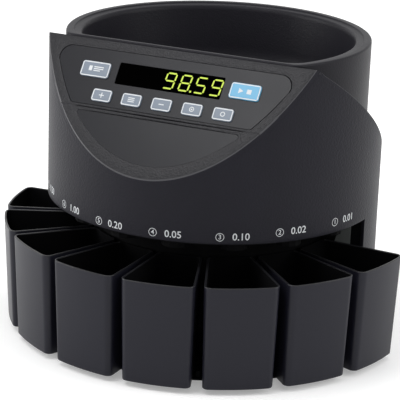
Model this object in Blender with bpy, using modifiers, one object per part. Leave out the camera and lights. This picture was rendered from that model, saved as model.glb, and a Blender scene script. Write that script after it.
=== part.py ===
"""Counter-top coin sorting machine: a hopper, a sloping control panel and a fan of coin cups.

Units are metres, +Z is up, the control panel faces -Y, and the origin is the middle of the
footprint on the table. Turned and fanned pieces stand round the spindle, a little behind the
origin. Headings in plan are measured from the front (-Y) towards +X.
"""

from math import acos, asin, cos, pi, radians, sin, sqrt, tan

import bmesh
import bpy
from mathutils import Matrix, Vector

# Whole machine
machine_height = 0.266
housing_radius = 0.148
cup_overhang = 0.0385
cup_reach = housing_radius + cup_overhang
rear_overhang = 0.0045
rear_reach = housing_radius + rear_overhang
skirt_share = 0.4530075
wall = 0.003
clearance = 0.0003
overrun = 0.01
round_steps = 72
inner_steps = 36
shaft_steps = 16
hole_steps = 12
small_steps = 10
corner_steps = 2

# Feet and base tray
foot_radius = 0.008
foot_height = 0.0033
front_foot_share = 0.86
rear_foot_share = 0.86
tray_thickness = 0.0015
tray_setback = 0.0265
tray_reach = cup_reach - tray_setback
rib_height = 0.0055
rib_width = 0.0034

# Coin cups
cup_count = 8
cup_pitch = radians(22)
cup_half_angle = radians(9.9)
cup_headroom = 0.0245
cup_wall = 0.0018
cup_floor = 0.0022
cup_corner = 0.0065
cup_heel = 0.0032
cup_draft = 0.0012
cup_lean = 0.0025
cup_corner_steps = 3

# Cup bay and mechanism deck
skirt_height = machine_height * skirt_share
bay_side_y = 0.0065
bay_wall_setback = 0.041
bay_wall_radius = housing_radius - bay_wall_setback
bay_wall_thickness = 0.0025
cup_back_gap = 0.002
cup_back = bay_wall_radius + cup_back_gap
rib_heel = 0.007
rib_start = cup_back + rib_heel
deck_rise = 0.0005
deck_height = skirt_height + deck_rise
deck_thickness = 0.003
chute_flange = 0.0022
chute_drop = 0.0075
chute_wall = 0.0015

# Coin track
coin_diameters = (0.01625, 0.01875, 0.01975, 0.02125, 0.02225, 0.02325, 0.02425, 0.02575)
coin_slack = 0.0006
plate_thickness = 0.0015
plate_bore = 0.060
rail_setback = 0.012
rail_radius = housing_radius - rail_setback
rail_height = 0.0251
rail_flange = 0.003
cover_thickness = 0.0032
sensor_board_thickness = 0.0016

# Rotor
shaft_radius = 0.005
gear_drop = 0.029
gear_foot = deck_height - gear_drop
shaft_tail = 0.012
shaft_foot = gear_foot - shaft_tail
collar_radius = 0.008
collar_height = 0.0009
bearing_radius = 0.011
bearing_flange_radius = 0.014
bearing_flange = 0.0015
bearing_depth = 0.005
wheel_thickness = 0.004
wheel_hub_setback = 0.030
wheel_hub_radius = rail_radius - wheel_hub_setback
finger_count = 12
finger_width = 0.009
finger_clearance = 0.0015
cone_rim = 0.0025
cone_rise = 0.0184
cone_top_radius = 0.018
cone_hub_radius = 0.014
cone_rib_count = 6
cone_rib = 0.003
cone_rib_length = 0.070
nut_radius = 0.013
nut_height = 0.008
nut_crown_radius = 0.008
nut_crown_drop = 0.0024
nut_thread = 0.006
ring_thickness = 0.0015
ring_radius = 0.008

# Gear train
gear_module = 0.00216
gear_teeth = 40
pinion_teeth = 10
gear_thickness = 0.008
pinion_shaft_radius = 0.003
addendum_share = 0.85
dedendum_share = 1.2
tooth_root_share = 0.31
tooth_tip_share = 0.12
motor_radius = 0.025
motor_length = 0.048
motor_neck_radius = 0.010
bracket_drop = 0.008
bracket_foot = gear_foot - bracket_drop
bracket_thickness = 0.003
bracket_post_radius = 0.0045
bracket_margin = 0.007
post_front_x = 0.078
post_rear_x = 0.045
post_y = 0.036

# Hopper
hopper_setback = 0.0145
hopper_radius = housing_radius - hopper_setback
rim_width = 0.0145
bowl_radius = hopper_radius - rim_width
bowl_chord_gap = 0.0078
bowl_knee_drop = 0.051
bowl_knee_height = machine_height - bowl_knee_drop
bowl_knee_setback = 0.006
bowl_knee_radius = bowl_radius - bowl_knee_setback
bowl_throat_run = 0.043
bowl_throat = bowl_knee_radius - bowl_throat_run
throat_neck = 0.005
rim_corner = 0.012
bowl_corner = 0.020
rim_round = 0.002
rim_step = 0.0009
rim_band = 0.0048
chord_steps = 6
bowl_corner_steps = 5
sweep_steps = 46

# Roof of the housing and sloping control panel
panel_drop = 0.0012
panel_top_height = machine_height - panel_drop
panel_depth = 0.0684
panel_chord = housing_radius - panel_depth
panel_slope = radians(54.26)
shoulder_slope = 0.70
rear_roof_rise = 0.0445
rear_roof_height = skirt_height + rear_roof_rise
roof_blend = 0.006
fascia_thickness = 0.003
inlay_depth = 0.0012
overlay_top = 0.0087
overlay_bottom = 0.0594
overlay_border = 0.0068
overlay_corner = 0.0105
badge_top = 0.0656
badge_border = 0.007
inlay_foot_corner = 0.002
inlay_corner_steps = 5
overlay_side_steps = 8
badge_side_steps = 18

# Keys and display on the panel
wide_key_width = 0.0268
wide_key_height = 0.014
key_gap = 0.00745
upper_row = 0.0281
small_key_width = 0.018
small_key_height = 0.011
small_key_pitch = 0.0281
small_key_count = 5
lower_row = 0.0505
key_corner = 0.0022
key_proud = 0.0016
key_lip = 0.001
key_lip_thickness = 0.0013
key_stem_radius = 0.002
key_stem_length = 0.0016
key_travel = 0.0008
key_edge = 0.0005
display_width = 0.0973
wide_key_x = display_width / 2 + key_gap + wide_key_width / 2
display_height = 0.0193
display_corner = 0.0008
lens_recess = 0.0002
lens_lip = 0.0015
lens_lip_thickness = 0.0012
module_depth = 0.0034
module_margin = 0.0014
mat_thickness = 0.0008
dome_radius = 0.003
board_thickness = 0.0016
board_depth = 0.0085
board_top = 0.0158
board_foot = 0.0600
board_half_width = 0.091
board_post_radius = 0.0028
board_post_inset = 0.0035

# Service bay at the back
bay_half_width = 0.062
bay_roof_rise = 0.0045
bay_roof_height = skirt_height + bay_roof_rise
service_proud = 0.0018
service_thickness = 0.0025
service_margin = 0.0005
boss_size = 0.010
boss_depth = 0.010
boss_foot_height = 0.014
boss_drop = 0.012
boss_top_height = bay_roof_height - boss_drop
screw_radius = 0.0015
screw_head_radius = 0.0032
screw_crown = 0.0006
screw_length = 0.009
vent_count = 7
vent_width = 0.003
vent_height = 0.032
vent_pitch = 0.009
vent_drop = 0.035
vent_centre_height = bay_roof_height - vent_drop

# Mains inlet and power switch
fitting_share = 0.336
fitting_height = bay_roof_height * fitting_share
fitting_lip = 0.002
inlet_x = 0.026
inlet_width = 0.027
inlet_height = 0.020
inlet_depth = 0.020
inlet_wall = 0.0025
inlet_corner = 0.002
socket_depth = 0.016
blade_width = 0.004
blade_thickness = 0.002
blade_length = 0.0105
blade_spacing = 0.007
blade_rise = 0.003
switch_x = -0.026
switch_width = 0.0145
switch_height = 0.0190
switch_depth = 0.014
switch_wall = 0.0019
switch_end = 0.0012
rocker_depth = 0.0041
rocker_crown = 0.0006
rocker_dip = 0.0009
rocker_tilt = radians(8)
rocker_gap = 0.0004
rocker_end_gap = 0.0007
pivot_depth = 0.0015
pivot_radius = 0.001

# Boards and transformer in the rear compartment
main_board_centre = (-0.057, 0.0725)
main_board_size = (0.070, 0.065)
standoff_height = 0.011
standoff_radius = 0.003
standoff_inset = 0.005
heat_sink_size = (0.008, 0.040, 0.018)
reservoir_radius = 0.008
reservoir_height = 0.020
transformer_centre = (0.058, 0.066)
core_size = (0.056, 0.022, 0.046)
coil_size = (0.038, 0.042, 0.030)

# Heights that follow from the sizes above
tray_foot = foot_height + clearance
tray_top = tray_foot + tray_thickness
floor_height = tray_top + clearance
cup_top = skirt_height - cup_headroom
deck_top = deck_height + deck_thickness
plate_foot = deck_top + clearance
plate_top = plate_foot + plate_thickness
rail_foot = plate_top + clearance
rail_top = rail_foot + rail_height
cover_foot = rail_top + clearance
cover_top = cover_foot + cover_thickness
hopper_foot = cover_top + clearance
bearing_seat = deck_top + clearance
collar_foot = bearing_seat + bearing_flange + clearance
wheel_foot = collar_foot + collar_height + clearance
cone_foot = wheel_foot + wheel_thickness + clearance
cone_top = cone_foot + cone_rise
nut_foot = cone_top + clearance
bracket_top = bracket_foot + bracket_thickness

# Plan sizes that follow from the sizes above
inner_radius = housing_radius - wall
rail_outer = rail_radius + wall
hopper_chord = panel_chord - clearance
gear_pitch_radius = gear_module * gear_teeth / 2
pinion_pitch_radius = gear_module * pinion_teeth / 2
pinion_x = gear_pitch_radius + pinion_pitch_radius
service_face = rear_reach - service_proud
service_back = service_face - service_thickness
bay_end = service_back - clearance
front_reach = cup_reach * cos(cup_pitch / 2 - cup_half_angle + asin(cup_corner / (cup_reach - cup_corner)))
spindle_y = (front_reach - rear_reach) / 2
quarter = pi / 2
centre = Vector((0, 0, 0))

charcoal = (0.045, 0.045, 0.050)


def start_empty_scene():
    """Remove whatever the file holds and make the two collections."""
    for item in list(bpy.data.objects):
        bpy.data.objects.remove(item)
    made = []
    for name in ("coin_sorter", "cutters"):
        group = bpy.data.collections.new(name)
        bpy.context.scene.collection.children.link(group)
        made.append(group)
    return made


parts, cutters = start_empty_scene()


def add_frame(name, location, rotation, parent=None):
    """Add an empty that carries pieces."""
    frame = bpy.data.objects.new(name, None)
    frame.location = location
    frame.rotation_euler = rotation
    frame.parent = parent
    parts.objects.link(frame)
    return frame


spindle = add_frame("spindle_axis", (0, spindle_y, 0), (0, 0, 0))
panel_frame = add_frame("panel_frame", (0, -panel_chord, panel_top_height), (panel_slope, 0, 0), spindle)
rear_frame = add_frame("rear_frame", (0, service_face, 0), (quarter, 0, pi), spindle)


def finish(name, colour, roughness, metallic=0.0):
    """Make one Principled material."""
    material = bpy.data.materials.new(name)
    material.use_nodes = True
    shader = material.node_tree.nodes["Principled BSDF"]
    shader.inputs["Base Color"].default_value = (*colour, 1)
    shader.inputs["Roughness"].default_value = roughness
    shader.inputs["Metallic"].default_value = metallic
    return material


def add_piece(name, mesh, material, parent=spindle, location=(0, 0, 0)):
    """Add a kept piece, shaded smooth but for its edges."""
    mesh.shade_smooth()
    mesh.set_sharp_from_angle(angle=radians(30))
    mesh.materials.append(material)
    piece = bpy.data.objects.new(name, mesh)
    piece.parent = parent
    piece.location = location
    parts.objects.link(piece)
    return piece


def add_cutter(name, mesh, parent=spindle, location=(0, 0, 0)):
    """Add a helper solid that is joined to or cut from a piece."""
    cutter = bpy.data.objects.new(name, mesh)
    cutter.parent = parent
    cutter.location = location
    cutter.hide_render = True
    cutter.display_type = "WIRE"
    cutters.objects.link(cutter)
    return cutter


def boolean(piece, operand, operation):
    """Join a helper solid to a piece, or cut it away."""
    modifier = piece.modifiers.new(operand.name, "BOOLEAN")
    modifier.operation = operation
    modifier.object = operand


def join(piece, operand):
    boolean(piece, operand, "UNION")


def cut(piece, operand):
    boolean(piece, operand, "DIFFERENCE")


def heading(angle):
    """Unit vector in plan at an angle from the front towards +X."""
    return Vector((sin(angle), -cos(angle), 0))


def arc(middle, radius, start, end, steps):
    """Points of an arc in plan, both ends included."""
    return [middle + radius * heading(start + (end - start) * i / steps) for i in range(steps + 1)]


def circle(radius, steps, middle=centre):
    """Points of a circle in plan."""
    return arc(middle, radius, 0, 2 * pi, steps)[:-1]


def rounded_corner(before, corner, after, radius, steps=corner_steps):
    """Points that round one corner, on the way from the point before it to the point after."""
    back = (before - corner).normalized()
    ahead = (after - corner).normalized()
    half = back.angle(ahead) / 2
    middle = corner + (back + ahead).normalized() * (radius / sin(half))
    start = corner + back * (radius / tan(half)) - middle
    turn = pi - 2 * half
    if back.cross(ahead).z > 0:
        turn = -turn
    return [middle + Matrix.Rotation(turn * step / steps, 3, "Z") @ start for step in range(steps + 1)]


def rounded(corners, radius, steps=corner_steps):
    """Round every corner of an outline."""
    points = []
    for i, corner in enumerate(corners):
        points += rounded_corner(corners[i - 1], corner, corners[(i + 1) % len(corners)], radius, steps)
    return points


def box_outline(width, height, middle=centre):
    """The four corners of a flat box, anticlockwise."""
    signs = ((-1, -1), (1, -1), (1, 1), (-1, 1))
    return [middle + Vector((x * width / 2, y * height / 2, 0)) for x, y in signs]


def raised(points, height):
    """The same outline at a height."""
    return [Vector((point.x, point.y, height)) for point in points]


def loft(name, rings, tube=False):
    """Skin rings of equally many points; a tube closes on itself, another loft gets end caps."""
    mesh = bpy.data.meshes.new(name)
    work = bmesh.new()
    loops = [[work.verts.new(point) for point in ring] for ring in rings]
    pairs = list(zip(loops, loops[1:] + loops[:1] if tube else loops[1:]))
    for low, high in pairs:
        for i in range(len(low)):
            work.faces.new((low[i - 1], low[i], high[i], high[i - 1]))
    if not tube:
        work.faces.new(reversed(loops[0]))
        work.faces.new(loops[-1])
    bmesh.ops.recalc_face_normals(work, faces=work.faces)
    work.to_mesh(mesh)
    work.free()
    return mesh


def flat(name, loops, low, high):
    """A flat solid between two heights, from an outer outline and those of its holes."""
    curve = bpy.data.curves.new(name, "CURVE")
    curve.dimensions = "2D"
    curve.fill_mode = "BOTH"
    curve.extrude = (high - low) / 2
    for loop in loops:
        spline = curve.splines.new("POLY")
        spline.points.add(len(loop) - 1)
        spline.use_cyclic_u = True
        for point, place in zip(spline.points, loop):
            point.co = (place.x, place.y, 0, 1)
    guide = bpy.data.objects.new(name, curve)
    cutters.objects.link(guide)
    evaluated = guide.evaluated_get(bpy.context.evaluated_depsgraph_get())
    mesh = bpy.data.meshes.new_from_object(evaluated)
    bpy.data.objects.remove(guide)
    work = bmesh.new()
    work.from_mesh(mesh)
    bmesh.ops.remove_doubles(work, verts=work.verts, dist=clearance / 10)
    bmesh.ops.translate(work, verts=work.verts, vec=(0, 0, (low + high) / 2))
    bmesh.ops.recalc_face_normals(work, faces=work.faces)
    work.to_mesh(mesh)
    work.free()
    return mesh


def boxes(name, places):
    """One mesh of boxes, each given by its centre and size, with an optional turn about Z."""
    mesh = bpy.data.meshes.new(name)
    work = bmesh.new()
    for middle, size, *turn in places:
        spin = turn[0] if turn else Matrix.Identity(4)
        shape = spin @ Matrix.Translation(middle) @ Matrix.Diagonal((*size, 1))
        bmesh.ops.create_cube(work, size=1, matrix=shape)
    work.to_mesh(mesh)
    work.free()
    return mesh


def cylinders(name, places, radius, low, high, steps, tilt=Matrix.Identity(4)):
    """One mesh of equal upright cylinders; a tilt turns each one about its own middle."""
    mesh = bpy.data.meshes.new(name)
    work = bmesh.new()
    for x, y in places:
        shape = Matrix.Translation((x, y, (low + high) / 2)) @ tilt
        bmesh.ops.create_cone(work, cap_ends=True, segments=steps, radius1=radius, radius2=radius,
                              depth=high - low, matrix=shape)
    work.to_mesh(mesh)
    work.free()
    return mesh


def turned(name, profile, material, steps=inner_steps, parent=spindle, location=(0, 0, 0)):
    """A turned piece: the profile of radius and height runs down its outer side."""
    mesh = bpy.data.meshes.new(name)
    count = len(profile)
    open_ended = profile[0][0] == 0
    edges = [(i, (i + 1) % count) for i in range(count - 1 if open_ended else count)]
    mesh.from_pydata([(radius, 0, height) for radius, height in profile], edges, [])
    piece = add_piece(name, mesh, material, parent, location)
    screw = piece.modifiers.new("Turn", "SCREW")
    screw.steps = steps
    screw.render_steps = steps
    screw.use_merge_vertices = True
    screw.merge_threshold = clearance / 10
    return piece


def ring_profile(inner, outer, low, high):
    """Profile of a plain ring."""
    return [(outer, high), (outer, low), (inner, low), (inner, high)]


def roof_height(y):
    """Height of the housing's shoulders: they slope down to the rear and level out there."""
    slope = panel_top_height - shoulder_slope * (y + panel_chord)
    gap = slope - rear_roof_height
    return rear_roof_height + (gap + sqrt(gap * gap + roof_blend * roof_blend)) / 2


def bowl_outline(radius, chord, corner):
    """A circle cut off by a chord in front, with rounded corners."""
    reach = radius - corner
    turn = acos((chord - corner) / reach)
    right = reach * heading(turn)
    left = reach * heading(-turn)
    points = arc(right, corner, 0, turn, bowl_corner_steps)
    points += arc(centre, radius, turn, 2 * pi - turn, sweep_steps)[1:-1]
    points += arc(left, corner, -turn, 0, bowl_corner_steps)
    span = points[0] - points[-1]
    points += [points[-1] + span * i / chord_steps for i in range(1, chord_steps)]
    return points


def cup_outline(inset, lean=0):
    """Wedge-shaped outline of a cup, moved in by an inset, its outer face also by the lean."""
    corner = cup_corner - inset
    reach = cup_reach - lean
    outer = reach - cup_corner
    inner = cup_back + cup_corner
    outer_turn = cup_half_angle - asin(cup_corner / outer)
    inner_turn = cup_half_angle - asin(cup_corner / inner)
    side = cup_half_angle + quarter
    steps = cup_corner_steps
    points = arc(centre, reach - inset, -outer_turn, outer_turn, 2 * steps)
    points += arc(outer * heading(outer_turn), corner, outer_turn, side, steps)[1:]
    points += arc(inner * heading(inner_turn), corner, side, inner_turn + pi, steps)
    points += arc(centre, cup_back + inset, inner_turn, -inner_turn, steps)[1:]
    points += arc(inner * heading(-inner_turn), corner, pi - inner_turn, 2 * pi - side, steps)[1:]
    points += arc(outer * heading(-outer_turn), corner, 2 * pi - side, 2 * pi - outer_turn, steps)[:-1]
    return points


def cup_heading(index):
    """Heading of a cup, the smallest coin's at the right."""
    return ((cup_count - 1) / 2 - index) * cup_pitch


def panel_sweep(radius, top, bottom, steps):
    """Right-hand edge of an inlay that follows the housing's curve, in panel coordinates."""
    start = acos((panel_chord + top * cos(panel_slope)) / radius)
    end = acos(min(1, (panel_chord + bottom * cos(panel_slope)) / radius))
    turns = [start + (end - start) * i / steps for i in range(steps + 1)]
    return [Vector((radius * sin(t), (panel_chord - radius * cos(t)) / cos(panel_slope), 0)) for t in turns]


def mirrored(points):
    """The left-hand twin of points, in reverse order."""
    return [Vector((-point.x, point.y, 0)) for point in reversed(points)]


def make_base_tray(material):
    """Floor under the cups and the machine, with ribs between the cups."""
    side = acos(bay_side_y / tray_reach)
    step = acos(bay_side_y / housing_radius)
    back = pi - asin(bay_half_width / housing_radius)
    outline = arc(centre, tray_reach, -side, side, inner_steps // 2)
    outline += arc(centre, housing_radius, step, back, hole_steps)
    outline += [Vector((bay_half_width, bay_end, 0)), Vector((-bay_half_width, bay_end, 0))]
    outline += arc(centre, housing_radius, -back, -step, hole_steps)
    tray = add_piece("base_tray", flat("base_tray", [outline], tray_foot, tray_top), material)

    length = tray_reach - rib_start
    low = tray_top - tray_thickness / 2
    middle = (0, -(rib_start + tray_reach) / 2, (low + tray_top + rib_height) / 2)
    size = (rib_width, length - 2 * rib_width, tray_top + rib_height - low)
    turns = [(i - cup_count / 2) * cup_pitch for i in range(1, cup_count)]
    ribs = [(middle, size, Matrix.Rotation(turn, 4, "Z")) for turn in turns]
    join(tray, add_cutter("cup_ribs", boxes("cup_ribs", ribs)))

    reach_x = main_board_size[0] / 2 - standoff_inset
    reach_y = main_board_size[1] / 2 - standoff_inset
    x, y = main_board_centre
    places = [(x + sx * reach_x, y + sy * reach_y) for sx in (-1, 1) for sy in (-1, 1)]
    posts = cylinders("standoffs", places, standoff_radius, low, tray_top + standoff_height, small_steps)
    join(tray, add_cutter("standoffs", posts))


def make_feet(material):
    """Four rubber pads under the tray."""
    front = tray_reach * front_foot_share
    rear = housing_radius * rear_foot_share
    places = [front * heading(-quarter / 2), front * heading(quarter / 2)]
    places += [rear * heading(pi - quarter / 2), rear * heading(pi + quarter / 2)]
    for number, place in enumerate(places, 1):
        profile = [(0, foot_height), (foot_radius, foot_height), (foot_radius, 0), (0, 0)]
        turned(f"foot_{number}", profile, material, hole_steps, location=place)


def make_bay_wall(material):
    """Wall behind the cups, with a wing at each side that closes the rear compartment."""
    inner = bay_wall_radius - bay_wall_thickness
    front = bay_side_y - 2 * clearance - bay_wall_thickness / 2
    back = front - bay_wall_thickness
    tip = inner_radius - clearance
    face = acos(front / bay_wall_radius)
    rear = acos(back / inner)
    outline = [Vector((-sqrt(tip * tip - front * front), -front, 0))]
    outline += arc(centre, bay_wall_radius, -face, face, inner_steps // 2)
    outline += [Vector((sqrt(tip * tip - front * front), -front, 0))]
    outline += [Vector((sqrt(tip * tip - front * front), -back, 0))]
    outline += arc(centre, inner, rear, -rear, inner_steps // 2)
    outline += [Vector((-sqrt(tip * tip - front * front), -back, 0))]
    mesh = flat("cup_bay_wall", [outline], floor_height, deck_height - clearance)
    add_piece("cup_bay_wall", mesh, material)


def housing_cutters():
    """Solids that shape the housing: the skirt, the panel's seat, the hopper's hole, the rear bay."""
    size = 4 * housing_radius
    skirt = boxes("skirt", [((0, -bay_side_y - size / 2, skirt_height - size / 2), (size, size, size))])
    seat_depth = fascia_thickness + clearance
    seat = boxes("panel_seat", [((0, 0, size / 2 - seat_depth), (size, size, size))])
    hole = bowl_outline(hopper_radius + clearance, panel_chord, rim_corner + clearance)
    mouth = flat("hopper_mouth", [hole], rail_foot, machine_height + housing_radius)
    width = 2 * (bay_half_width - wall)
    depth = size
    start = inner_radius - bay_half_width
    roof = bay_roof_height - wall
    inside = boxes("bay_inside", [((0, start + depth / 2, roof - size / 2), (width, depth, size))])
    return [add_cutter("skirt", skirt), add_cutter("panel_seat", seat, panel_frame),
            add_cutter("hopper_mouth", mouth), add_cutter("bay_inside", inside)]


def rear_bay_shell():
    """Block behind the round wall that the rear bay is hollowed from."""
    radius = inner_radius + wall / 2
    turn = pi - asin(bay_half_width / radius)
    outline = arc(centre, radius, turn, 2 * pi - turn, inner_steps // 4)
    outline += [Vector((-bay_half_width, bay_end, 0)), Vector((bay_half_width, bay_end, 0))]
    return add_cutter("rear_bay", flat("rear_bay", [outline], floor_height, bay_roof_height))


def screw_places():
    """Side and centre of each service screw, in rear coordinates."""
    x = bay_half_width - wall - boss_size / 2 + clearance
    return [(side, side * x, z) for side in (-1, 1) for z in (boss_foot_height, boss_top_height)]


def make_housing(material):
    """Outer shell with its skirt, shoulders, panel seat and rear bay."""
    turns = [2 * pi * i / round_steps for i in range(round_steps)]
    lip = hopper_radius - 2 * wall

    def ring(radius, drop):
        points = [radius * heading(turn) for turn in turns]
        return [Vector((p.x, p.y, roof_height(p.y) - drop)) for p in points]

    foot_outer = raised([housing_radius * heading(turn) for turn in turns], floor_height)
    foot_inner = raised([inner_radius * heading(turn) for turn in turns], floor_height)
    rings = [foot_outer, ring(housing_radius, 0), ring(lip, 0), ring(lip, wall), ring(inner_radius, wall),
             foot_inner]
    housing = add_piece("main_housing", loft("main_housing", rings, tube=True), material)
    join(housing, rear_bay_shell())
    for cutter in housing_cutters():
        cut(housing, cutter)

    face = -service_thickness - clearance
    blocks = [((x + clearance * sx, z, face - boss_depth / 2), (boss_size, boss_size, boss_depth))
              for sx, x, z in screw_places()]
    join(housing, add_cutter("screw_bosses", boxes("screw_bosses", blocks), rear_frame))
    places = [(x, z) for _, x, z in screw_places()]
    holes = cylinders("boss_holes", places, screw_radius + clearance, face - boss_depth - overrun,
                      face + overrun, small_steps)
    cut(housing, add_cutter("boss_holes", holes, rear_frame))


def make_hopper(material):
    """Bowl and rim with the outer wall that stands in the housing."""
    def outer(inset, height):
        return raised(bowl_outline(hopper_radius - inset, hopper_chord - inset, rim_corner - inset), height)

    def inner(out, height):
        chord = hopper_chord - bowl_chord_gap + out / 2
        return raised(bowl_outline(bowl_radius + out, chord, bowl_corner + out / 2), height)

    def throat(radius, height):
        return raised([point.normalized() * radius for point in outer(0, 0)], height)

    top = machine_height
    knee = bowl_knee_radius - bowl_radius
    rings = [
        outer(0, hopper_foot),
        outer(0, top - rim_round),
        outer(rim_round / 3, top - rim_round / 3),
        outer(rim_round, top),
        inner(hopper_radius - bowl_radius - rim_round - rim_band, top),
        inner(hopper_radius - bowl_radius - rim_round - rim_band - rim_step / 2, top - rim_step),
        inner(rim_round / 2, top - 2 * rim_step),
        inner(0, top - 2 * rim_step - rim_round / 2),
        inner(knee, bowl_knee_height),
        throat(bowl_throat, hopper_foot + throat_neck),
        throat(bowl_throat, hopper_foot),
        throat(bowl_throat + wall, hopper_foot),
        throat(bowl_throat + wall, hopper_foot + throat_neck),
        inner(knee + wall, bowl_knee_height - wall / 2),
        inner(wall, top - rim_round - wall),
        outer(wall, top - rim_round - wall),
        outer(wall, hopper_foot),
    ]
    add_piece("hopper", loft("hopper", rings, tube=True), material)


def make_fascia(material):
    """Half-moon plate of the control panel, with pockets for its inlays."""
    mesh = bpy.data.meshes.new("control_panel")
    work = bmesh.new()
    middle = Matrix.Translation((0, 0, machine_height / 2))
    bmesh.ops.create_cone(work, cap_ends=True, segments=round_steps, radius1=housing_radius,
                          radius2=housing_radius, depth=machine_height * 2, matrix=middle)
    bmesh.ops.rotate(work, verts=work.verts, matrix=Matrix.Rotation(pi / round_steps, 3, "Z"))
    top = Vector((0, -panel_chord, panel_top_height))
    normal = Vector((0, -sin(panel_slope), cos(panel_slope)))
    shoulder = Vector((0, shoulder_slope, 1)).normalized()
    sides = ((top, normal), (top - fascia_thickness * normal, -normal), (top, shoulder))
    for point, direction in sides:
        geometry = work.verts[:] + work.edges[:] + work.faces[:]
        made = bmesh.ops.bisect_plane(work, geom=geometry, plane_co=point, plane_no=direction,
                                      clear_outer=True)
        rim = [item for item in made["geom_cut"] if isinstance(item, bmesh.types.BMEdge)]
        bmesh.ops.contextual_create(work, geom=rim)
    bmesh.ops.remove_doubles(work, verts=work.verts, dist=clearance / 10)
    bmesh.ops.recalc_face_normals(work, faces=work.faces)
    work.to_mesh(mesh)
    work.free()
    fascia = add_piece("control_panel", mesh, material)

    room = bowl_outline(hopper_radius + clearance, panel_chord, rim_corner + clearance)
    cut(fascia, add_cutter("hopper_room", flat("hopper_room", [room], 0, machine_height * 2)))
    pockets = [overlay_outline(clearance), badge_outline(clearance)]
    cut(fascia, add_cutter("inlay_pockets", flat("inlay_pockets", pockets, -inlay_depth, overrun),
                           panel_frame))
    posts = cylinders("board_posts", board_post_places(), board_post_radius,
                      clearance - board_depth, -fascia_thickness / 2, small_steps)
    join(fascia, add_cutter("board_posts", posts, panel_frame))
    holes = [rounded(box_outline(width + 2 * clearance, height + 2 * clearance, place),
                     key_corner + clearance) for _, place, width, height in key_places()]
    holes.append(display_outline(clearance))
    cut(fascia, add_cutter("key_holes", flat("key_holes", holes, -overrun, overrun), panel_frame))


def overlay_outline(grow=0.0):
    """Outline of the keypad overlay, in panel coordinates."""
    radius = housing_radius - overlay_border + grow
    right = panel_sweep(radius, overlay_top - grow, overlay_bottom + grow, overlay_side_steps)
    head_middle = Vector((0, right[0].y, 0))
    foot_middle = Vector((0, right[-1].y, 0))
    corner = rounded_corner(right[1], right[0], head_middle, overlay_corner, inlay_corner_steps)
    foot = rounded_corner(foot_middle, right[-1], right[-2], inlay_foot_corner)
    side = [point for point in right if foot[-1].y < point.y < corner[0].y]
    half = list(reversed(corner)) + side + list(reversed(foot))
    return half + mirrored(half)


def badge_outline(grow=0.0):
    """Outline of the lower inlay, in panel coordinates."""
    radius = housing_radius - badge_border + grow
    foot = (radius - panel_chord) / cos(panel_slope)
    right = panel_sweep(radius, badge_top - grow, foot, badge_side_steps)
    corner = rounded_corner(right[1], right[0], Vector((0, right[0].y, 0)), inlay_foot_corner)
    side = [point for point in right[1:-1] if point.y < corner[0].y]
    half = list(reversed(corner)) + side
    return half + [right[-1]] + mirrored(half)


def display_outline(grow=0.0):
    """Outline of the display opening, in panel coordinates."""
    place = Vector((0, -upper_row, 0))
    return rounded(box_outline(display_width + 2 * grow, display_height + 2 * grow, place),
                   display_corner + grow)


def key_places():
    """Name, centre, width and height of each key, in panel coordinates."""
    places = [("report_button", Vector((-wide_key_x, -upper_row, 0)), wide_key_width, wide_key_height),
              ("start_stop_button", Vector((wide_key_x, -upper_row, 0)), wide_key_width, wide_key_height)]
    for i in range(small_key_count):
        x = (i - (small_key_count - 1) / 2) * small_key_pitch
        places.append((f"function_button_{i + 1}", Vector((x, -lower_row, 0)), small_key_width,
                       small_key_height))
    return places


def board_post_places():
    """Centres of the posts that hold the front board, in panel coordinates."""
    x = board_half_width - board_post_inset
    rows = (board_top + board_post_inset, board_foot - board_post_inset)
    return [(sx * x, -y) for sx in (-1, 1) for y in rows]


def make_inlays(overlay_material, badge_material):
    """Keypad overlay and the bare half-moon plate below it."""
    grown = [rounded(box_outline(width + 2 * clearance, height + 2 * clearance, place),
                     key_corner + clearance) for _, place, width, height in key_places()]
    loops = [overlay_outline(), display_outline(clearance)] + grown
    low = clearance - inlay_depth
    add_piece("keypad_overlay", flat("keypad_overlay", loops, low, 0), overlay_material, panel_frame)
    add_piece("lower_inlay", flat("lower_inlay", [badge_outline()], low, 0), badge_material, panel_frame)


def make_key(name, place, width, height, material):
    """Key cap with a lip behind the fascia and a stem over its dome."""
    lip_top = -fascia_thickness - clearance
    lip_foot = lip_top - key_lip_thickness
    stem_foot = lip_foot - key_stem_length

    def cap(inset, level):
        return raised(rounded(box_outline(width - 2 * inset, height - 2 * inset), key_corner), level)

    def stem(level):
        turns = [point.normalized() for point in cap(0, 0)]
        return raised([turn * key_stem_radius for turn in turns], level)

    rings = [stem(stem_foot), stem(lip_foot), cap(-key_lip, lip_foot), cap(-key_lip, lip_top),
             cap(0, lip_top), cap(0, key_proud - key_edge), cap(key_edge, key_proud)]
    add_piece(name, loft(name, rings), material, panel_frame, place)


def make_display(lens_material, module_material):
    """Smoked window with a lip behind the fascia, and the digit block behind it."""
    lip_top = -fascia_thickness - clearance
    place = Vector((0, -upper_row, 0))
    window = add_piece("display_window", flat("display_window", [display_outline()],
                                              lip_top - lens_lip_thickness / 2, -lens_recess),
                       lens_material, panel_frame)
    lip = rounded(box_outline(display_width + 2 * lens_lip, display_height + 2 * lens_lip, place),
                  display_corner + lens_lip)
    join(window, add_cutter("lens_lip", flat("lens_lip", [lip], lip_top - lens_lip_thickness, lip_top),
                            panel_frame))
    outline = box_outline(display_width - 2 * module_margin, display_height - 2 * module_margin, place)
    foot = clearance - board_depth
    add_piece("display_module", flat("display_module", [outline], foot, foot + module_depth),
              module_material, panel_frame)


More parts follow.
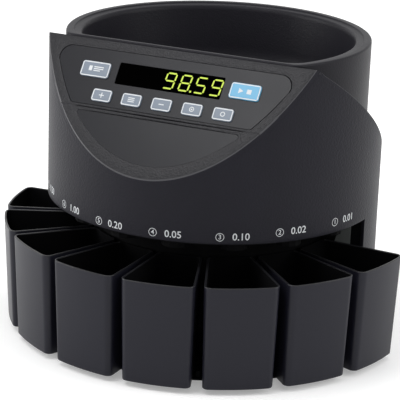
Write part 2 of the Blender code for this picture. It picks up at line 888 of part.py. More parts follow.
def make_key_mat(material):
    """Rubber mat on the front board, with a dome under each key."""
    low = clearance - board_depth
    side = wide_key_width / 2 + wide_key_x - board_post_radius
    inner = display_width / 2 + lens_lip
    top = upper_row - wide_key_height / 2
    step = upper_row + display_height / 2 + lens_lip
    foot = lower_row + small_key_height / 2
    half = [Vector((inner, -step, 0)), Vector((inner, -top, 0)), Vector((side, -top, 0)),
            Vector((side, -foot, 0))]
    mesh = flat("key_mat", [half + mirrored(half)], low, low + mat_thickness)
    mat = add_piece("key_mat", mesh, material, panel_frame)
    stem_foot = -fascia_thickness - clearance - key_lip_thickness - key_stem_length
    dome_top = stem_foot - key_travel - clearance
    places = [(place.x, place.y) for _, place, _, _ in key_places()]
    domes = cylinders("domes", places, dome_radius, low + mat_thickness / 2, dome_top, small_steps)
    join(mat, add_cutter("domes", domes, panel_frame))


def make_front_board(material):
    """Circuit board behind the panel, held against the fascia's posts."""
    height = board_foot - board_top
    middle = Vector((0, -(board_foot + board_top) / 2, 0))
    outline = box_outline(2 * board_half_width, height, middle)
    mesh = flat("front_board", [outline], -board_depth - board_thickness, -board_depth)
    add_piece("front_board", mesh, material, panel_frame)


def make_cups(material):
    """Eight equal cups fanned round the spindle."""
    def ring(inset, height):
        lean = cup_lean * (cup_top - height) / (cup_top - floor_height)
        return raised(cup_outline(inset, lean), height)

    foot = floor_height
    bend = cos(quarter / 2)
    rings = [
        ring(cup_draft + cup_heel, foot),
        ring(cup_draft + cup_heel * (1 - bend), foot + cup_heel * (1 - bend)),
        ring(cup_draft, foot + cup_heel),
        ring(0, cup_top),
        ring(cup_wall, cup_top),
        ring(cup_wall + cup_draft, foot + cup_floor),
    ]
    for index in range(cup_count):
        cup = add_piece(f"coin_cup_{index + 1}", loft("coin_cup", rings), material)
        cup.rotation_euler = (0, 0, cup_heading(index))


def hole_centre(index):
    """Centre of a sorting hole, whose outer edge touches the rail."""
    radius = (coin_diameters[index] + coin_slack) / 2
    return (rail_radius - radius) * heading(cup_heading(index)), radius


def make_deck(material):
    """Plate that carries the mechanism, with a drop hole over each cup."""
    holes = [circle(radius + clearance, hole_steps, middle)
             for middle, radius in map(hole_centre, range(cup_count))]
    outline = circle(inner_radius - clearance, inner_steps)
    loops = [outline, circle(bearing_radius + clearance, shaft_steps)] + holes
    add_piece("mechanism_deck", flat("mechanism_deck", loops, deck_height, deck_top), material)


def make_chute_ring(material):
    """Flange under the deck with a short chute below each hole."""
    face = acos((bay_side_y + wall) / inner_radius)
    inner = bay_wall_radius + clearance
    outer = inner_radius - 2 * clearance
    top = deck_height - clearance
    low = top - chute_flange
    foot = low - chute_drop
    sleeves = []
    bores = []
    for index in range(cup_count):
        middle, radius = hole_centre(index)
        sleeves.append(circle(radius + clearance + chute_wall, hole_steps, middle))
        bores.append(circle(radius + clearance, hole_steps, middle))
    outline = arc(centre, outer, -face, face, inner_steps) + arc(centre, inner, face, -face, inner_steps // 2)
    ring = add_piece("chute_ring", flat("chute_ring", [outline], low, top), material)
    join(ring, add_cutter("chutes", flat("chutes", sleeves, foot, low + chute_flange / 2)))
    cut(ring, add_cutter("chute_bores", flat("chute_bores", bores, foot - overrun, top + overrun)))


def make_sorting_plate(material):
    """Steel track plate with eight holes that grow from right to left."""
    holes = [circle(radius, hole_steps, middle) for middle, radius in map(hole_centre, range(cup_count))]
    loops = [circle(inner_radius - 2 * clearance, inner_steps), circle(plate_bore, shaft_steps)] + holes
    add_piece("sorting_plate", flat("sorting_plate", loops, plate_foot, plate_top), material)


def make_track(rail_material, board_material, cover_material):
    """Rail round the coin track, the sensor board on its flange and the cover over the track."""
    flange = inner_radius - 2 * clearance
    seat = rail_foot + rail_flange
    profile = [(rail_outer, rail_top), (rail_outer, seat), (flange, seat), (flange, rail_foot),
               (rail_radius, rail_foot), (rail_radius, rail_top)]
    turned("guide_ring", profile, rail_material)
    face = acos(bay_side_y / inner_radius)
    inner = rail_outer + 2 * clearance
    outline = arc(centre, flange, -face, face, inner_steps) + arc(centre, inner, face, -face, inner_steps)
    low = seat + clearance
    mesh = flat("sensor_board", [outline], low, low + sensor_board_thickness)
    add_piece("sensor_board", mesh, board_material)
    turned("track_cover", ring_profile(bowl_throat, rail_outer, cover_foot, cover_top), cover_material)


def make_shaft(shaft_material, bearing_material, ring_material):
    """Main shaft with its collar, the two flanged bearings and the retaining ring below."""
    head = nut_foot + nut_thread
    profile = [(0, head), (shaft_radius, head), (shaft_radius, collar_foot + collar_height),
               (collar_radius, collar_foot + collar_height), (collar_radius, collar_foot),
               (shaft_radius, collar_foot), (shaft_radius, shaft_foot), (0, shaft_foot)]
    turned("main_shaft", profile, shaft_material, shaft_steps)
    bore = shaft_radius + clearance
    for name, seat in (("upper_bearing", bearing_seat), ("lower_bearing", bracket_top + clearance)):
        profile = [(bearing_flange_radius, seat + bearing_flange), (bearing_flange_radius, seat),
                   (bearing_radius, seat), (bearing_radius, seat - bearing_depth),
                   (bore, seat - bearing_depth), (bore, seat + bearing_flange)]
        turned(name, profile, bearing_material, shaft_steps)
    top = bracket_top - bearing_depth
    turned("retaining_ring", ring_profile(bore, ring_radius, top - ring_thickness, top), ring_material,
           shaft_steps)


def make_transport_wheel(material):
    """Wheel whose fingers push the coins along the rail."""
    reach = rail_radius - finger_clearance
    outline = []
    half = finger_width / 2
    pitch = 2 * pi / finger_count
    for i in range(finger_count):
        turn = i * pitch
        along = heading(turn)
        across = heading(turn + quarter) * half
        outline += [along * wheel_hub_radius - across, along * reach - across, along * reach + across,
                    along * wheel_hub_radius + across]
        outline += arc(centre, wheel_hub_radius, turn + pitch / 4, turn + 3 * pitch / 4, 3)
    loops = [outline, circle(shaft_radius + clearance, shaft_steps)]
    mesh = flat("transport_wheel", loops, wheel_foot, wheel_foot + wheel_thickness)
    add_piece("transport_wheel", mesh, material)


def make_feed_cone(material, nut_material):
    """Ribbed cone that feeds the coins outwards, and the nut that holds it."""
    bore = shaft_radius + clearance
    shoulder = cone_foot + cone_rim
    under = cone_top - cone_rim
    profile = [(cone_top_radius, cone_top), (wheel_hub_radius, shoulder), (wheel_hub_radius, cone_foot),
               (wheel_hub_radius - cone_rim, cone_foot), (cone_hub_radius, under),
               (cone_hub_radius, cone_foot), (bore, cone_foot), (bore, cone_top)]
    cone = turned("feed_cone", profile, material)
    run = wheel_hub_radius - cone_top_radius
    fall = cone_top - shoulder
    tilt = Matrix.Rotation(asin(fall / sqrt(run * run + fall * fall)), 4, "X")
    ribs = []
    for i in range(cone_rib_count):
        spin = Matrix.Rotation(2 * pi * i / cone_rib_count, 4, "Z")
        place = Matrix.Translation((0, -(cone_top_radius + run / 2), (cone_top + shoulder) / 2))
        ribs.append((centre, (cone_rib, cone_rib_length, cone_rib), spin @ place @ tilt))
    join(cone, add_cutter("cone_ribs", boxes("cone_ribs", ribs)))
    top = nut_foot + nut_height
    inside = nut_foot + nut_thread + clearance
    profile = [(0, top), (nut_crown_radius, top), (nut_radius, top - nut_crown_drop),
               (nut_radius, nut_foot), (bore, nut_foot), (bore, inside), (0, inside)]
    turned("hub_nut", profile, nut_material, shaft_steps)


def gear_outline(teeth, phase):
    """Trapezoid teeth round a pitch circle; the phase turns the first tooth from the front."""
    pitch = gear_module * teeth / 2
    tip = pitch + addendum_share * gear_module
    root = pitch - dedendum_share * gear_module
    step = 2 * pi / teeth
    points = []
    for i in range(teeth):
        turn = phase + i * step
        for radius, share in ((root, -tooth_root_share), (tip, -tooth_tip_share), (tip, tooth_tip_share),
                              (root, tooth_root_share)):
            points.append(radius * heading(turn + share * step))
    return points


def make_gear_train(gear_material, motor_material, bracket_material):
    """Large gear on the shaft, the motor with its pinion, and the bracket that hangs from the deck."""
    loops = [gear_outline(gear_teeth, 0), circle(shaft_radius + clearance, shaft_steps)]
    add_piece("drive_gear", flat("drive_gear", loops, gear_foot, gear_foot + gear_thickness), gear_material)

    tooth = pi / pinion_teeth
    mesh = flat("motor_pinion", [gear_outline(pinion_teeth, quarter + tooth)], gear_foot,
                gear_foot + gear_thickness)
    pinion = add_piece("motor_pinion", mesh, gear_material, location=(pinion_x, 0, 0))
    stub = cylinders("pinion_shaft", [(0, 0)], pinion_shaft_radius,
                     bracket_foot - motor_length / 4, gear_foot + gear_thickness / 2, hole_steps)
    join(pinion, add_cutter("pinion_shaft", stub, spindle, (pinion_x, 0, 0)))

    top = bracket_foot - clearance
    bore = pinion_shaft_radius + clearance
    floor = bracket_foot - motor_length / 4 - clearance
    foot = top - motor_length
    profile = [(0, floor), (bore, floor), (bore, top), (motor_radius, top), (motor_radius, foot), (0, foot)]
    turned("gear_motor", profile, motor_material, shaft_steps, location=(pinion_x, 0, 0))

    x_low = -post_rear_x - bracket_margin
    x_high = post_front_x + bracket_margin
    middle = Vector(((x_low + x_high) / 2, 0, 0))
    outline = rounded(box_outline(x_high - x_low, 2 * (post_y + bracket_margin), middle), bracket_margin)
    pinion_hole = circle(motor_neck_radius, shaft_steps, Vector((pinion_x, 0, 0)))
    loops = [outline, circle(bearing_radius + clearance, shaft_steps), pinion_hole]
    bracket = add_piece("motor_bracket", flat("motor_bracket", loops, bracket_foot, bracket_top),
                        bracket_material)
    places = [(x, sy * post_y) for x in (-post_rear_x, post_front_x) for sy in (-1, 1)]
    posts = cylinders("bracket_posts", places, bracket_post_radius, bracket_foot + bracket_thickness / 2,
                      deck_height - clearance, small_steps)
    join(bracket, add_cutter("bracket_posts", posts))


def make_service_panel(material, screw_material):
    """Rear panel with vents and openings for the fittings, and its four screws."""
    width = 2 * (bay_half_width - service_margin)
    low = floor_height + service_margin
    high = bay_roof_height - service_margin
    outline = box_outline(width, high - low, Vector((0, (low + high) / 2, 0)))
    vents = []
    for i in range(vent_count):
        x = (i - (vent_count - 1) / 2) * vent_pitch
        slot = box_outline(vent_width, vent_height, Vector((x, vent_centre_height, 0)))
        vents.append(slot)
    screws = [circle(screw_radius + clearance, small_steps, Vector((x, z, 0))) for _, x, z in screw_places()]
    inlet = rounded(box_outline(inlet_width + 2 * clearance, inlet_height + 2 * clearance,
                                Vector((inlet_x, fitting_height, 0))), inlet_corner + clearance)
    switch = box_outline(switch_width + 2 * clearance, switch_height + 2 * clearance,
                         Vector((switch_x, fitting_height, 0)))
    loops = [outline, inlet, switch] + vents + screws
    add_piece("service_panel", flat("service_panel", loops, -service_thickness, 0), material, rear_frame)

    for number, (_, x, z) in enumerate(screw_places(), 1):
        profile = [(0, service_proud), (screw_head_radius, service_proud - screw_crown),
                   (screw_head_radius, clearance), (screw_radius, clearance), (screw_radius, -screw_length),
                   (0, -screw_length)]
        turned(f"service_screw_{number}", profile, screw_material, small_steps, rear_frame, (x, z, 0))


def make_inlet(body_material):
    """Mains inlet: a flanged socket with three blades."""
    place = Vector((inlet_x, fitting_height, 0))
    outline = rounded(box_outline(inlet_width, inlet_height, place), inlet_corner)
    inlet = add_piece("power_inlet", flat("power_inlet", [outline], -inlet_depth, service_proud / 2),
                      body_material, rear_frame)
    lip = rounded(box_outline(inlet_width + 2 * fitting_lip, inlet_height + 2 * fitting_lip, place),
                  inlet_corner + fitting_lip)
    join(inlet, add_cutter("inlet_lip", flat("inlet_lip", [lip], clearance, service_proud), rear_frame))
    socket = rounded(box_outline(inlet_width - 2 * inlet_wall, inlet_height - 2 * inlet_wall, place),
                     inlet_corner)
    floor = service_proud - socket_depth
    cut(inlet, add_cutter("socket", flat("socket", [socket], floor, overrun), rear_frame))
    middle = (floor - blade_thickness + floor + blade_length) / 2
    size = (blade_thickness, blade_width, blade_length + blade_thickness)
    places = [(inlet_x - blade_spacing, fitting_height - blade_rise), (inlet_x, fitting_height + blade_rise),
              (inlet_x + blade_spacing, fitting_height - blade_rise)]
    blades = [((x, y, middle), size) for x, y in places]
    join(inlet, add_cutter("blades", boxes("blades", blades), rear_frame))


def make_switch(body_material, rocker_material):
    """Power switch body and the rocker that tilts in it."""
    place = Vector((switch_x, fitting_height, 0))
    outline = box_outline(switch_width, switch_height, place)
    body = add_piece("power_switch", flat("power_switch", [outline], -switch_depth, service_proud / 2),
                     body_material, rear_frame)
    lip = rounded(box_outline(switch_width + 2 * fitting_lip, switch_height + 2 * fitting_lip, place),
                  fitting_lip)
    join(body, add_cutter("switch_lip", flat("switch_lip", [lip], clearance, service_proud), rear_frame))
    inner_width = switch_width - 2 * switch_wall
    inner_height = switch_height - 2 * switch_end
    well = box_outline(inner_width, inner_height, place)
    cut(body, add_cutter("switch_well", flat("switch_well", [well], switch_wall - switch_depth, overrun),
                         rear_frame))
    pin_length = inner_width + switch_wall
    across = Matrix.Rotation(quarter, 4, "Y")
    holes = cylinders("pivot_holes", [(0, 0)], pivot_radius + clearance, -pin_length / 2,
                      pin_length / 2, small_steps, across)
    cut(body, add_cutter("pivot_holes", holes, rear_frame, (switch_x, fitting_height, -pivot_depth)))

    half = inner_height / 2 - rocker_end_gap
    crown = pivot_depth + rocker_crown
    dip = pivot_depth + rocker_crown - rocker_dip
    foot = crown - rocker_depth
    corners = ((-half, foot), (half, foot), (half, crown), (0, dip), (-half, crown))
    outline = [Vector((y, z, 0)) for y, z in corners]
    width = inner_width - 2 * rocker_gap
    mesh = flat("power_rocker", [outline], -width / 2, width / 2)
    mesh.transform(Matrix(((0, 0, 1, 0), (1, 0, 0, 0), (0, 1, 0, 0), (0, 0, 0, 1))))
    rocker = add_piece("power_rocker", mesh, rocker_material, rear_frame,
                       (switch_x, fitting_height, -pivot_depth))
    rocker.rotation_euler = (rocker_tilt, 0, 0)
    pin = cylinders("rocker_pin", [(0, 0)], pivot_radius, (clearance - pin_length) / 2 + clearance,
                    (pin_length - clearance) / 2 - clearance, small_steps, across)
    join(rocker, add_cutter("rocker_pin", pin, rear_frame, (switch_x, fitting_height, -pivot_depth)))


def make_electronics(board_material, core_material):
    """Main board on its standoffs and the transformer beside it."""
    x, y = main_board_centre
    low = tray_top + standoff_height + clearance
    high = low + board_thickness
    outline = box_outline(*main_board_size, Vector((x, y, 0)))
    board = add_piece("main_board", flat("main_board", [outline], low, high), board_material)
    width, depth, height = heat_sink_size
    side = main_board_size[0] / 4
    sink = ((x - side, y, high + (height - board_thickness) / 2), (width, depth, height + board_thickness))
    join(board, add_cutter("heat_sink", boxes("heat_sink", [sink])))
    places = [(x + side, y - side), (x + side, y + side)]
    cans = cylinders("reservoirs", places, reservoir_radius, high - board_thickness / 2,
                     high + reservoir_height, small_steps)
    join(board, add_cutter("reservoirs", cans))

    x, y = transformer_centre
    middle = floor_height + core_size[2] / 2
    core = add_piece("transformer", boxes("transformer", [((x, y, middle), core_size)]), core_material)
    join(core, add_cutter("windings", boxes("windings", [((x, y, middle), coil_size)])))


def build_machine():
    """Make every piece with its finish."""
    body = finish("charcoal_body", charcoal, 0.55)
    black = finish("black_plastic", (0.012, 0.012, 0.013), 0.5)
    cup = finish("cup_plastic", (0.036, 0.037, 0.043), 0.32)
    rubber = finish("rubber", (0.02, 0.02, 0.02), 0.85)
    panel = finish("panel_plastic", (0.065, 0.067, 0.075), 0.5)
    overlay = finish("overlay_film", (0.050, 0.052, 0.058), 0.42)
    key_grey = finish("key_grey", (0.32, 0.40, 0.47), 0.45)
    key_blue = finish("key_blue", (0.13, 0.45, 0.80), 0.45)
    smoked = finish("smoked_window", (0.004, 0.004, 0.004), 0.08)
    digits = finish("display_block", (0.02, 0.02, 0.02), 0.4)
    circuit = finish("circuit_board", (0.02, 0.10, 0.04), 0.5)
    steel = finish("steel", (0.55, 0.55, 0.56), 0.3, 1.0)
    bronze = finish("bearing_bronze", (0.45, 0.28, 0.12), 0.4, 1.0)
    white = finish("acetal", (0.75, 0.74, 0.70), 0.45)
    motor = finish("motor_can", (0.35, 0.35, 0.36), 0.35, 1.0)
    iron = finish("laminations", (0.16, 0.15, 0.14), 0.6, 0.6)

    make_feet(rubber)
    make_base_tray(black)
    make_bay_wall(black)
    make_housing(body)
    make_hopper(body)
    make_fascia(panel)
    make_inlays(overlay, panel)
    for name, place, width, height in key_places():
        make_key(name, place, width, height, key_blue if name.startswith("start") else key_grey)
    make_display(smoked, digits)
    make_key_mat(rubber)
    make_front_board(circuit)
    make_cups(cup)
    make_deck(black)
    make_chute_ring(black)
    make_sorting_plate(steel)
    make_track(black, circuit, black)
    make_shaft(steel, bronze, steel)
    make_transport_wheel(white)
    make_feed_cone(black, steel)
    make_gear_train(white, motor, steel)
    make_service_panel(body, steel)
    make_inlet(black)
    make_switch(black, rubber)
    make_electronics(circuit, iron)


build_machine()
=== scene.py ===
# %% [markdown]
# # A counter-top coin sorting machine
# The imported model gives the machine's bodies, joints and solids. This lesson dresses it: the
# moulded housing, the hopper, the sloping keypad and the fan of coin cups get smooth surfaces and
# finishes, and the camera stands where the photographer stood.
# Lengths are metres, +Z is up and the keypad faces -Y. Turned and fanned pieces stand round the
# spindle, which is a little behind the origin.

# %% Load the frame
from math import acos, cos, pi, radians, sin, tan

import bmesh
import bpy
import numpy as np
from mathutils import Matrix, Vector


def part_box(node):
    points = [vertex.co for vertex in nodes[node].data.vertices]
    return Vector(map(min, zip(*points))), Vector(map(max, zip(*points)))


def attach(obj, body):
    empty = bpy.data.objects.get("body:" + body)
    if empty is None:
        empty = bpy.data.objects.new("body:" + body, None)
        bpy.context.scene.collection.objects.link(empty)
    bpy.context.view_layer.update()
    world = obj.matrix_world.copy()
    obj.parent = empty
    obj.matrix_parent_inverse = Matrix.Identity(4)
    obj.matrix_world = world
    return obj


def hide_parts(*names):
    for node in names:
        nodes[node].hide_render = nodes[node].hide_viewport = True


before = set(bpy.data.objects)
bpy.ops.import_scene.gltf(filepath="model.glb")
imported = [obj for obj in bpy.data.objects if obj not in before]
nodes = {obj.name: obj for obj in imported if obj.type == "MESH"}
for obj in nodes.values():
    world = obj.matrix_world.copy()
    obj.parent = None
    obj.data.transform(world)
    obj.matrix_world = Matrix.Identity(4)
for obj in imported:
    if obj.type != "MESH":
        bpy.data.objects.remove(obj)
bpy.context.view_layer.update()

# %% [markdown]
# ## Camera
# A photograph fixes the camera by a handful of measured points: the hopper's rim, the ends of the
# keypad, the edges of the cups. Fitting them gives the distance, the height and the focal length.
# It stands 1.56 m away with a long lens, so the verticals stay nearly straight.

# %% Place the camera
shaft_low, shaft_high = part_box("main_shaft")
spindle = np.array([0.0, (shaft_low.y + shaft_high.y) / 2, 0.0])
camera_turn = radians(24.468)
camera_roll = radians(2.0325)
camera_distance = 1.5587
camera_height = 0.6139
aim_right = -0.01142
aim_height = 0.11046
photo_width = 400
focal_pixels = 1817.9

sine, cosine = sin(camera_turn), cos(camera_turn)
place = np.array([camera_distance * sine, -camera_distance * cosine, camera_height])
target = np.array([aim_right * cosine, aim_right * sine, aim_height])
forward = (target - place) / np.linalg.norm(target - place)
side = np.cross(forward, [0, 0, 1])
side /= np.linalg.norm(side)
above = np.cross(side, forward)
right = side * cos(camera_roll) + above * sin(camera_roll)
up = above * cos(camera_roll) - side * sin(camera_roll)


def stand(item, across, above, ahead, place):
    """Put a camera or a lamp at a place: it looks ahead, with its own x across and its y above."""
    matrix = np.eye(4)
    matrix[:3] = np.column_stack([across, above, -ahead, place])
    item.matrix_world = Matrix(matrix.tolist())


lens = bpy.data.cameras.new("camera")
lens.sensor_width = 36
lens.lens = focal_pixels / photo_width * lens.sensor_width
lens.clip_start = 0.05
lens.clip_end = 20
camera = bpy.data.objects.new("camera", lens)
bpy.context.scene.collection.objects.link(camera)
stand(camera, right, up, forward, place + spindle)
bpy.context.scene.camera = camera
bpy.context.scene.view_settings.view_transform = "Standard"
print("lens", round(lens.lens, 1), "mm")

# %% [markdown]
# ## Shader sums in plain Python
# A material is a network of nodes, and maths between two of them is a node as well. One small
# class wraps an output socket, so that `0.3 + mask * 0.5` adds the Math nodes by itself. Any other
# node comes from its `node` method. That keeps each finish readable as a formula.

# %% A class that wraps a socket
class Signal:
    """An output socket. Sums with signals or numbers add the Math nodes that work them out."""

    def __init__(self, tree, socket=None):
        self.tree = tree
        self.socket = socket

    def node(self, kind, settings=None, inputs=None, output=0):
        """Add a node of a type: its settings first, then the values or links of its sockets."""
        node = self.tree.nodes.new(kind)
        for key, value in (settings or {}).items():
            if key == "stops":
                for index, (at, colour) in enumerate(value):
                    made = node.color_ramp.elements
                    stop = made[index] if index < len(made) else made.new(at)
                    stop.position = at
                    stop.color = colour
            else:
                setattr(node, key, value)
        for key, value in (inputs or {}).items():
            if isinstance(value, Signal):
                self.tree.links.new(value.socket, node.inputs[key])
            else:
                node.inputs[key].default_value = value
        return Signal(self.tree, node.outputs[output])

    def maths(self, operation, first, second=0.0):
        """A Math node's result."""
        return self.node("ShaderNodeMath", {"operation": operation}, {0: first, 1: second})

    def __add__(self, other):
        return self.maths("ADD", self, other)

    def __sub__(self, other):
        return self.maths("SUBTRACT", self, other)

    def __mul__(self, other):
        return self.maths("MULTIPLY", self, other)

    def __truediv__(self, other):
        return self.maths("DIVIDE", self, other)

    __radd__ = __add__
    __rmul__ = __mul__

    def clamped(self):
        """This signal, kept between 0 and 1."""
        return self.node("ShaderNodeClamp", {}, {0: self})

    def mixed(self, low, high):
        """The colour low where this signal is 0 and high where it is 1."""
        return self.node("ShaderNodeMix", {"data_type": "RGBA"}, {0: self, 6: low, 7: high}, 2)


# %% [markdown]
# ## Floor and light
# The object stands on white paper in a light tent: bright walls at its sides and above, and a
# dark gap in front for the camera. The gap is why its front stays nearly black while its flanks
# shine. The world is that tent, as a brightness that depends on the direction alone. Four soft
# boxes add what the tent leaves out: one at each side, one above and a small one for the panel.
# What the camera sees directly stays white, and so does the floor but for the close shadow.

# %% Floor, tent and lamps
def white_for_camera(start):
    """1 for rays that the camera, a mirror or glass sends out, 0 for the rays that light things."""
    path = [start.node("ShaderNodeLightPath", {}, {}, name) for name in
            ("Is Camera Ray", "Is Glossy Ray", "Is Transmission Ray")]
    return (path[0] + path[1] + path[2]).clamped()


def make_floor():
    """A square of pale paper: diffuse for the light, with a glow that lifts it to white when seen.
    The glow grows from the object's foot outwards, so that only the close shadow stays."""
    half = 6.0
    near_glow, added_glow, foot_radius, fade = 0.30, 0.25, 0.23, 0.20
    mesh = bpy.data.meshes.new("floor")
    corners = [(-half, -half, 0), (half, -half, 0), (half, half, 0), (-half, half, 0)]
    mesh.from_pydata(corners, [], [(0, 1, 2, 3)])
    floor = bpy.data.objects.new("floor", mesh)
    bpy.context.scene.collection.objects.link(floor)
    material = bpy.data.materials.new("floor_paper")
    material.use_nodes = True
    tree = material.node_tree
    tree.nodes.clear()
    start = Signal(tree)
    seen = white_for_camera(start)
    paper = start.node("ShaderNodeBsdfDiffuse", {}, {"Color": (0.80, 0.80, 0.80, 1)})
    place = start.node("ShaderNodeTexCoord", {}, {}, "Object")
    away = start.node("ShaderNodeVectorMath", {"operation": "LENGTH"}, {0: place}, "Value")
    lift = near_glow + added_glow * ((away - foot_radius) / fade).clamped()
    glow = start.node("ShaderNodeEmission", {}, {"Color": (1, 1, 1, 1), "Strength": seen * lift})
    both = start.node("ShaderNodeAddShader", {}, {0: paper, 1: glow})
    output = tree.nodes.new("ShaderNodeOutputMaterial")
    tree.links.new(both.socket, output.inputs[0])
    mesh.materials.append(material)


def make_tent():
    """World brightness by direction: sides, top and back glow, the front is dim."""
    world = bpy.data.worlds.new("light_tent")
    bpy.context.scene.world = world
    world.use_nodes = True
    tree = world.node_tree
    tree.nodes.clear()
    start = Signal(tree)
    towards = start.node("ShaderNodeTexCoord", {}, {}, "Generated")
    split = towards.node("ShaderNodeSeparateXYZ", {}, {0: towards}, 0)
    x, y, z = [Signal(tree, socket) for socket in split.socket.node.outputs]
    flank = x * x
    back = y.maths("MAXIMUM", y, 0.0)
    top = z.maths("MAXIMUM", z, 0.0)
    front_level, flank_level, top_level, back_level = 0.12, 0.60, 0.35, 0.30
    level = front_level + flank_level * flank + top_level * top + back_level * back
    lit = white_for_camera(start).mixed(level, (1, 1, 1, 1))
    glow = start.node("ShaderNodeBackground", {}, {0: lit, 1: 1.0})
    output = tree.nodes.new("ShaderNodeOutputWorld")
    tree.links.new(glow.socket, output.inputs[0])


def add_lamp(name, location, aim, size, watts):
    """A square soft box that faces a point."""
    light = bpy.data.lights.new(name, "AREA")
    light.shape = "SQUARE"
    light.size = size
    light.energy = watts
    lamp = bpy.data.objects.new(name, light)
    bpy.context.scene.collection.objects.link(lamp)
    ahead = np.array(aim) - np.array(location)
    ahead /= np.linalg.norm(ahead)
    across = np.cross(ahead, [0, 0, 1])
    across /= np.linalg.norm(across)
    stand(lamp, across, np.cross(across, ahead), ahead, location)


make_floor()
make_tent()
add_lamp("soft_box_left", (-1.45, -0.65, 0.6), (0, 0, 0.12), 0.9, 13)
add_lamp("soft_box_right", (1.5, 0.2, 0.9), (0, 0, 0.12), 0.9, 8)
add_lamp("soft_box_top", (0.1, 0.1, 1.8), (0, 0, 0), 1.2, 9)
add_lamp("soft_box_panel", (-0.29, -0.64, 1.11), (0.05, -0.1, 0.22), 0.4, 3.8)
print("floor, tent and four soft boxes")

# %% [markdown]
# ## Surfaces from arrays
# Every new piece is a table of points: rows along a profile, columns round an outline. numpy works
# the whole table out at once, and the faces are the cells of the table. An edge that would be
# razor sharp in a sum gets a small curve in its profile, because real mouldings always have one,
# and that is where their highlights sit.

# %% Points, cells and pieces
def heading(turn):
    """Unit vectors in plan: 0 points to the front (-Y) and a quarter turn to +X."""
    return np.stack([np.sin(turn), -np.cos(turn)], axis=-1)


def arc(centre, radius, start, end, count):
    """Points on a circle, from one heading to another."""
    return np.asarray(centre) + radius * heading(np.linspace(start, end, count))


def cells(rows, columns, ring=False, tube=False, offset=0):
    """Quads of a table of points: cell (i, j) joins its corner to the next column and row. A ring
    joins the last column to the first, and a tube joins the last row to the first."""
    i = np.arange(rows if tube else rows - 1)[:, None]
    j = np.arange(columns if ring else columns - 1)[None, :]
    following = (i + 1) % rows
    beside = (j + 1) % columns
    row, next_row = i * columns, following * columns
    quads = [row + j, row + beside, next_row + beside, next_row + j]
    return offset + np.stack(np.broadcast_arrays(*quads), axis=-1).reshape(-1, 4)


def raised(plan, height):
    """Points from plan points and their heights: one for all, one for each row or one for each."""
    height = np.broadcast_to(height, plan.shape[:-1])
    return np.concatenate([plan, height[..., None]], axis=-1)


def closed(table):
    """Points and faces of a table whose columns form rings, its ends closed by fans."""
    rows, columns = table.shape[:2]
    points = table.reshape(-1, 3)
    faces = cells(rows, columns, ring=True).tolist()
    ends = ((0, points[:columns]), (points.shape[0] - columns, points[-columns:]))
    for first, edge in ends:
        ring = first + np.arange(columns)
        tip = np.full(columns, points.shape[0])
        fan = np.stack([ring, np.roll(ring, -1), tip], axis=-1)
        faces += fan.tolist()
        points = np.vstack([points, edge.mean(axis=0)])
    return points, faces


def joined(tables, ring=False, tube=False):
    """One set of points and faces from several tables."""
    points, faces, count = [], [], 0
    for table in tables:
        faces += cells(*table.shape[:2], ring=ring, tube=tube, offset=count).tolist()
        points.append(table.reshape(-1, 3))
        count += points[-1].shape[0]
    return np.vstack(points), faces


def softened(corners, radii, steps=5):
    """A line through corners with each corner swapped for a curve: (1-t)^2 a + 2t(1-t) b + t^2 c,
    where b is the corner and a and c lie on its two legs, at the corner's radius from it."""
    corners = np.asarray(corners, dtype=float)
    line = [corners[:1]]
    t = np.linspace(0, 1, steps)[:, None]
    for before, corner, after, radius in zip(corners[:-2], corners[1:-1], corners[2:], radii[1:-1]):
        if radius == 0:
            line.append(corner[None])
            continue
        back = before - corner
        ahead = after - corner
        reach = min(radius, np.linalg.norm(back) / 2, np.linalg.norm(ahead) / 2)
        a = corner + back / np.linalg.norm(back) * reach
        c = corner + ahead / np.linalg.norm(ahead) * reach
        line.append((1 - t) ** 2 * a + 2 * t * (1 - t) * corner + t ** 2 * c)
    line.append(corners[-1:])
    return np.vstack(line)


def add_piece(name, points, faces, finish, body="machine", stands_for=(), outward=None,
              sharp=35):
    """A mesh object from points and faces, its doubles merged and its faces turned outwards, that
    rides on a body and stands for CAD nodes. outward is a point inside, for a sheet that isn't
    closed, and sharp the angle from which an edge stays an edge."""
    mesh = bpy.data.meshes.new(name)
    mesh.from_pydata(np.asarray(points).tolist(), [], [list(face) for face in faces])
    work = bmesh.new()
    work.from_mesh(mesh)
    bmesh.ops.remove_doubles(work, verts=work.verts, dist=1e-6)
    bmesh.ops.dissolve_degenerate(work, edges=work.edges, dist=1e-7)
    bmesh.ops.recalc_face_normals(work, faces=work.faces)
    if outward is not None:
        away = sum(face.normal.dot(face.calc_center_median() - Vector(outward)) for face in work.faces)
        if away < 0:
            bmesh.ops.reverse_faces(work, faces=work.faces)
    work.to_mesh(mesh)
    work.free()
    mesh.shade_smooth()
    mesh.set_sharp_from_angle(angle=radians(sharp))
    piece = bpy.data.objects.new(name, mesh)
    bpy.context.scene.collection.objects.link(piece)
    mesh.materials.append(finish)
    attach(piece, body)
    if stands_for:
        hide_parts(*stands_for)
    return piece


def read_polygons(mesh, field, width=3):
    """One value of every face as an array, such as its center or normal."""
    flat = np.empty(len(mesh.polygons) * width)
    mesh.polygons.foreach_get(field, flat)
    return flat.reshape(-1, width)


def thicken(piece, thickness, edge):
    """Give a sheet a wall on its inner side, and round its edges."""
    wall = piece.modifiers.new("wall", "SOLIDIFY")
    wall.thickness = thickness
    wall.offset = -1
    wall.use_even_offset = True
    round_off = piece.modifiers.new("edges", "BEVEL")
    round_off.width = edge
    round_off.segments = 2
    round_off.limit_method = "ANGLE"
    round_off.angle_limit = radians(40)
    round_off.harden_normals = False


print("helpers ready")

# %% [markdown]
# ## Moulded plastics
# Nearly all that shows is black or charcoal ABS. The mould is etched, so the surface is a field of
# fine pits: a Voronoi pattern with cells of about a millimetre, put through a Bump node. Slow noise
# makes the colour and the gloss drift a little, as handling and cooling do.

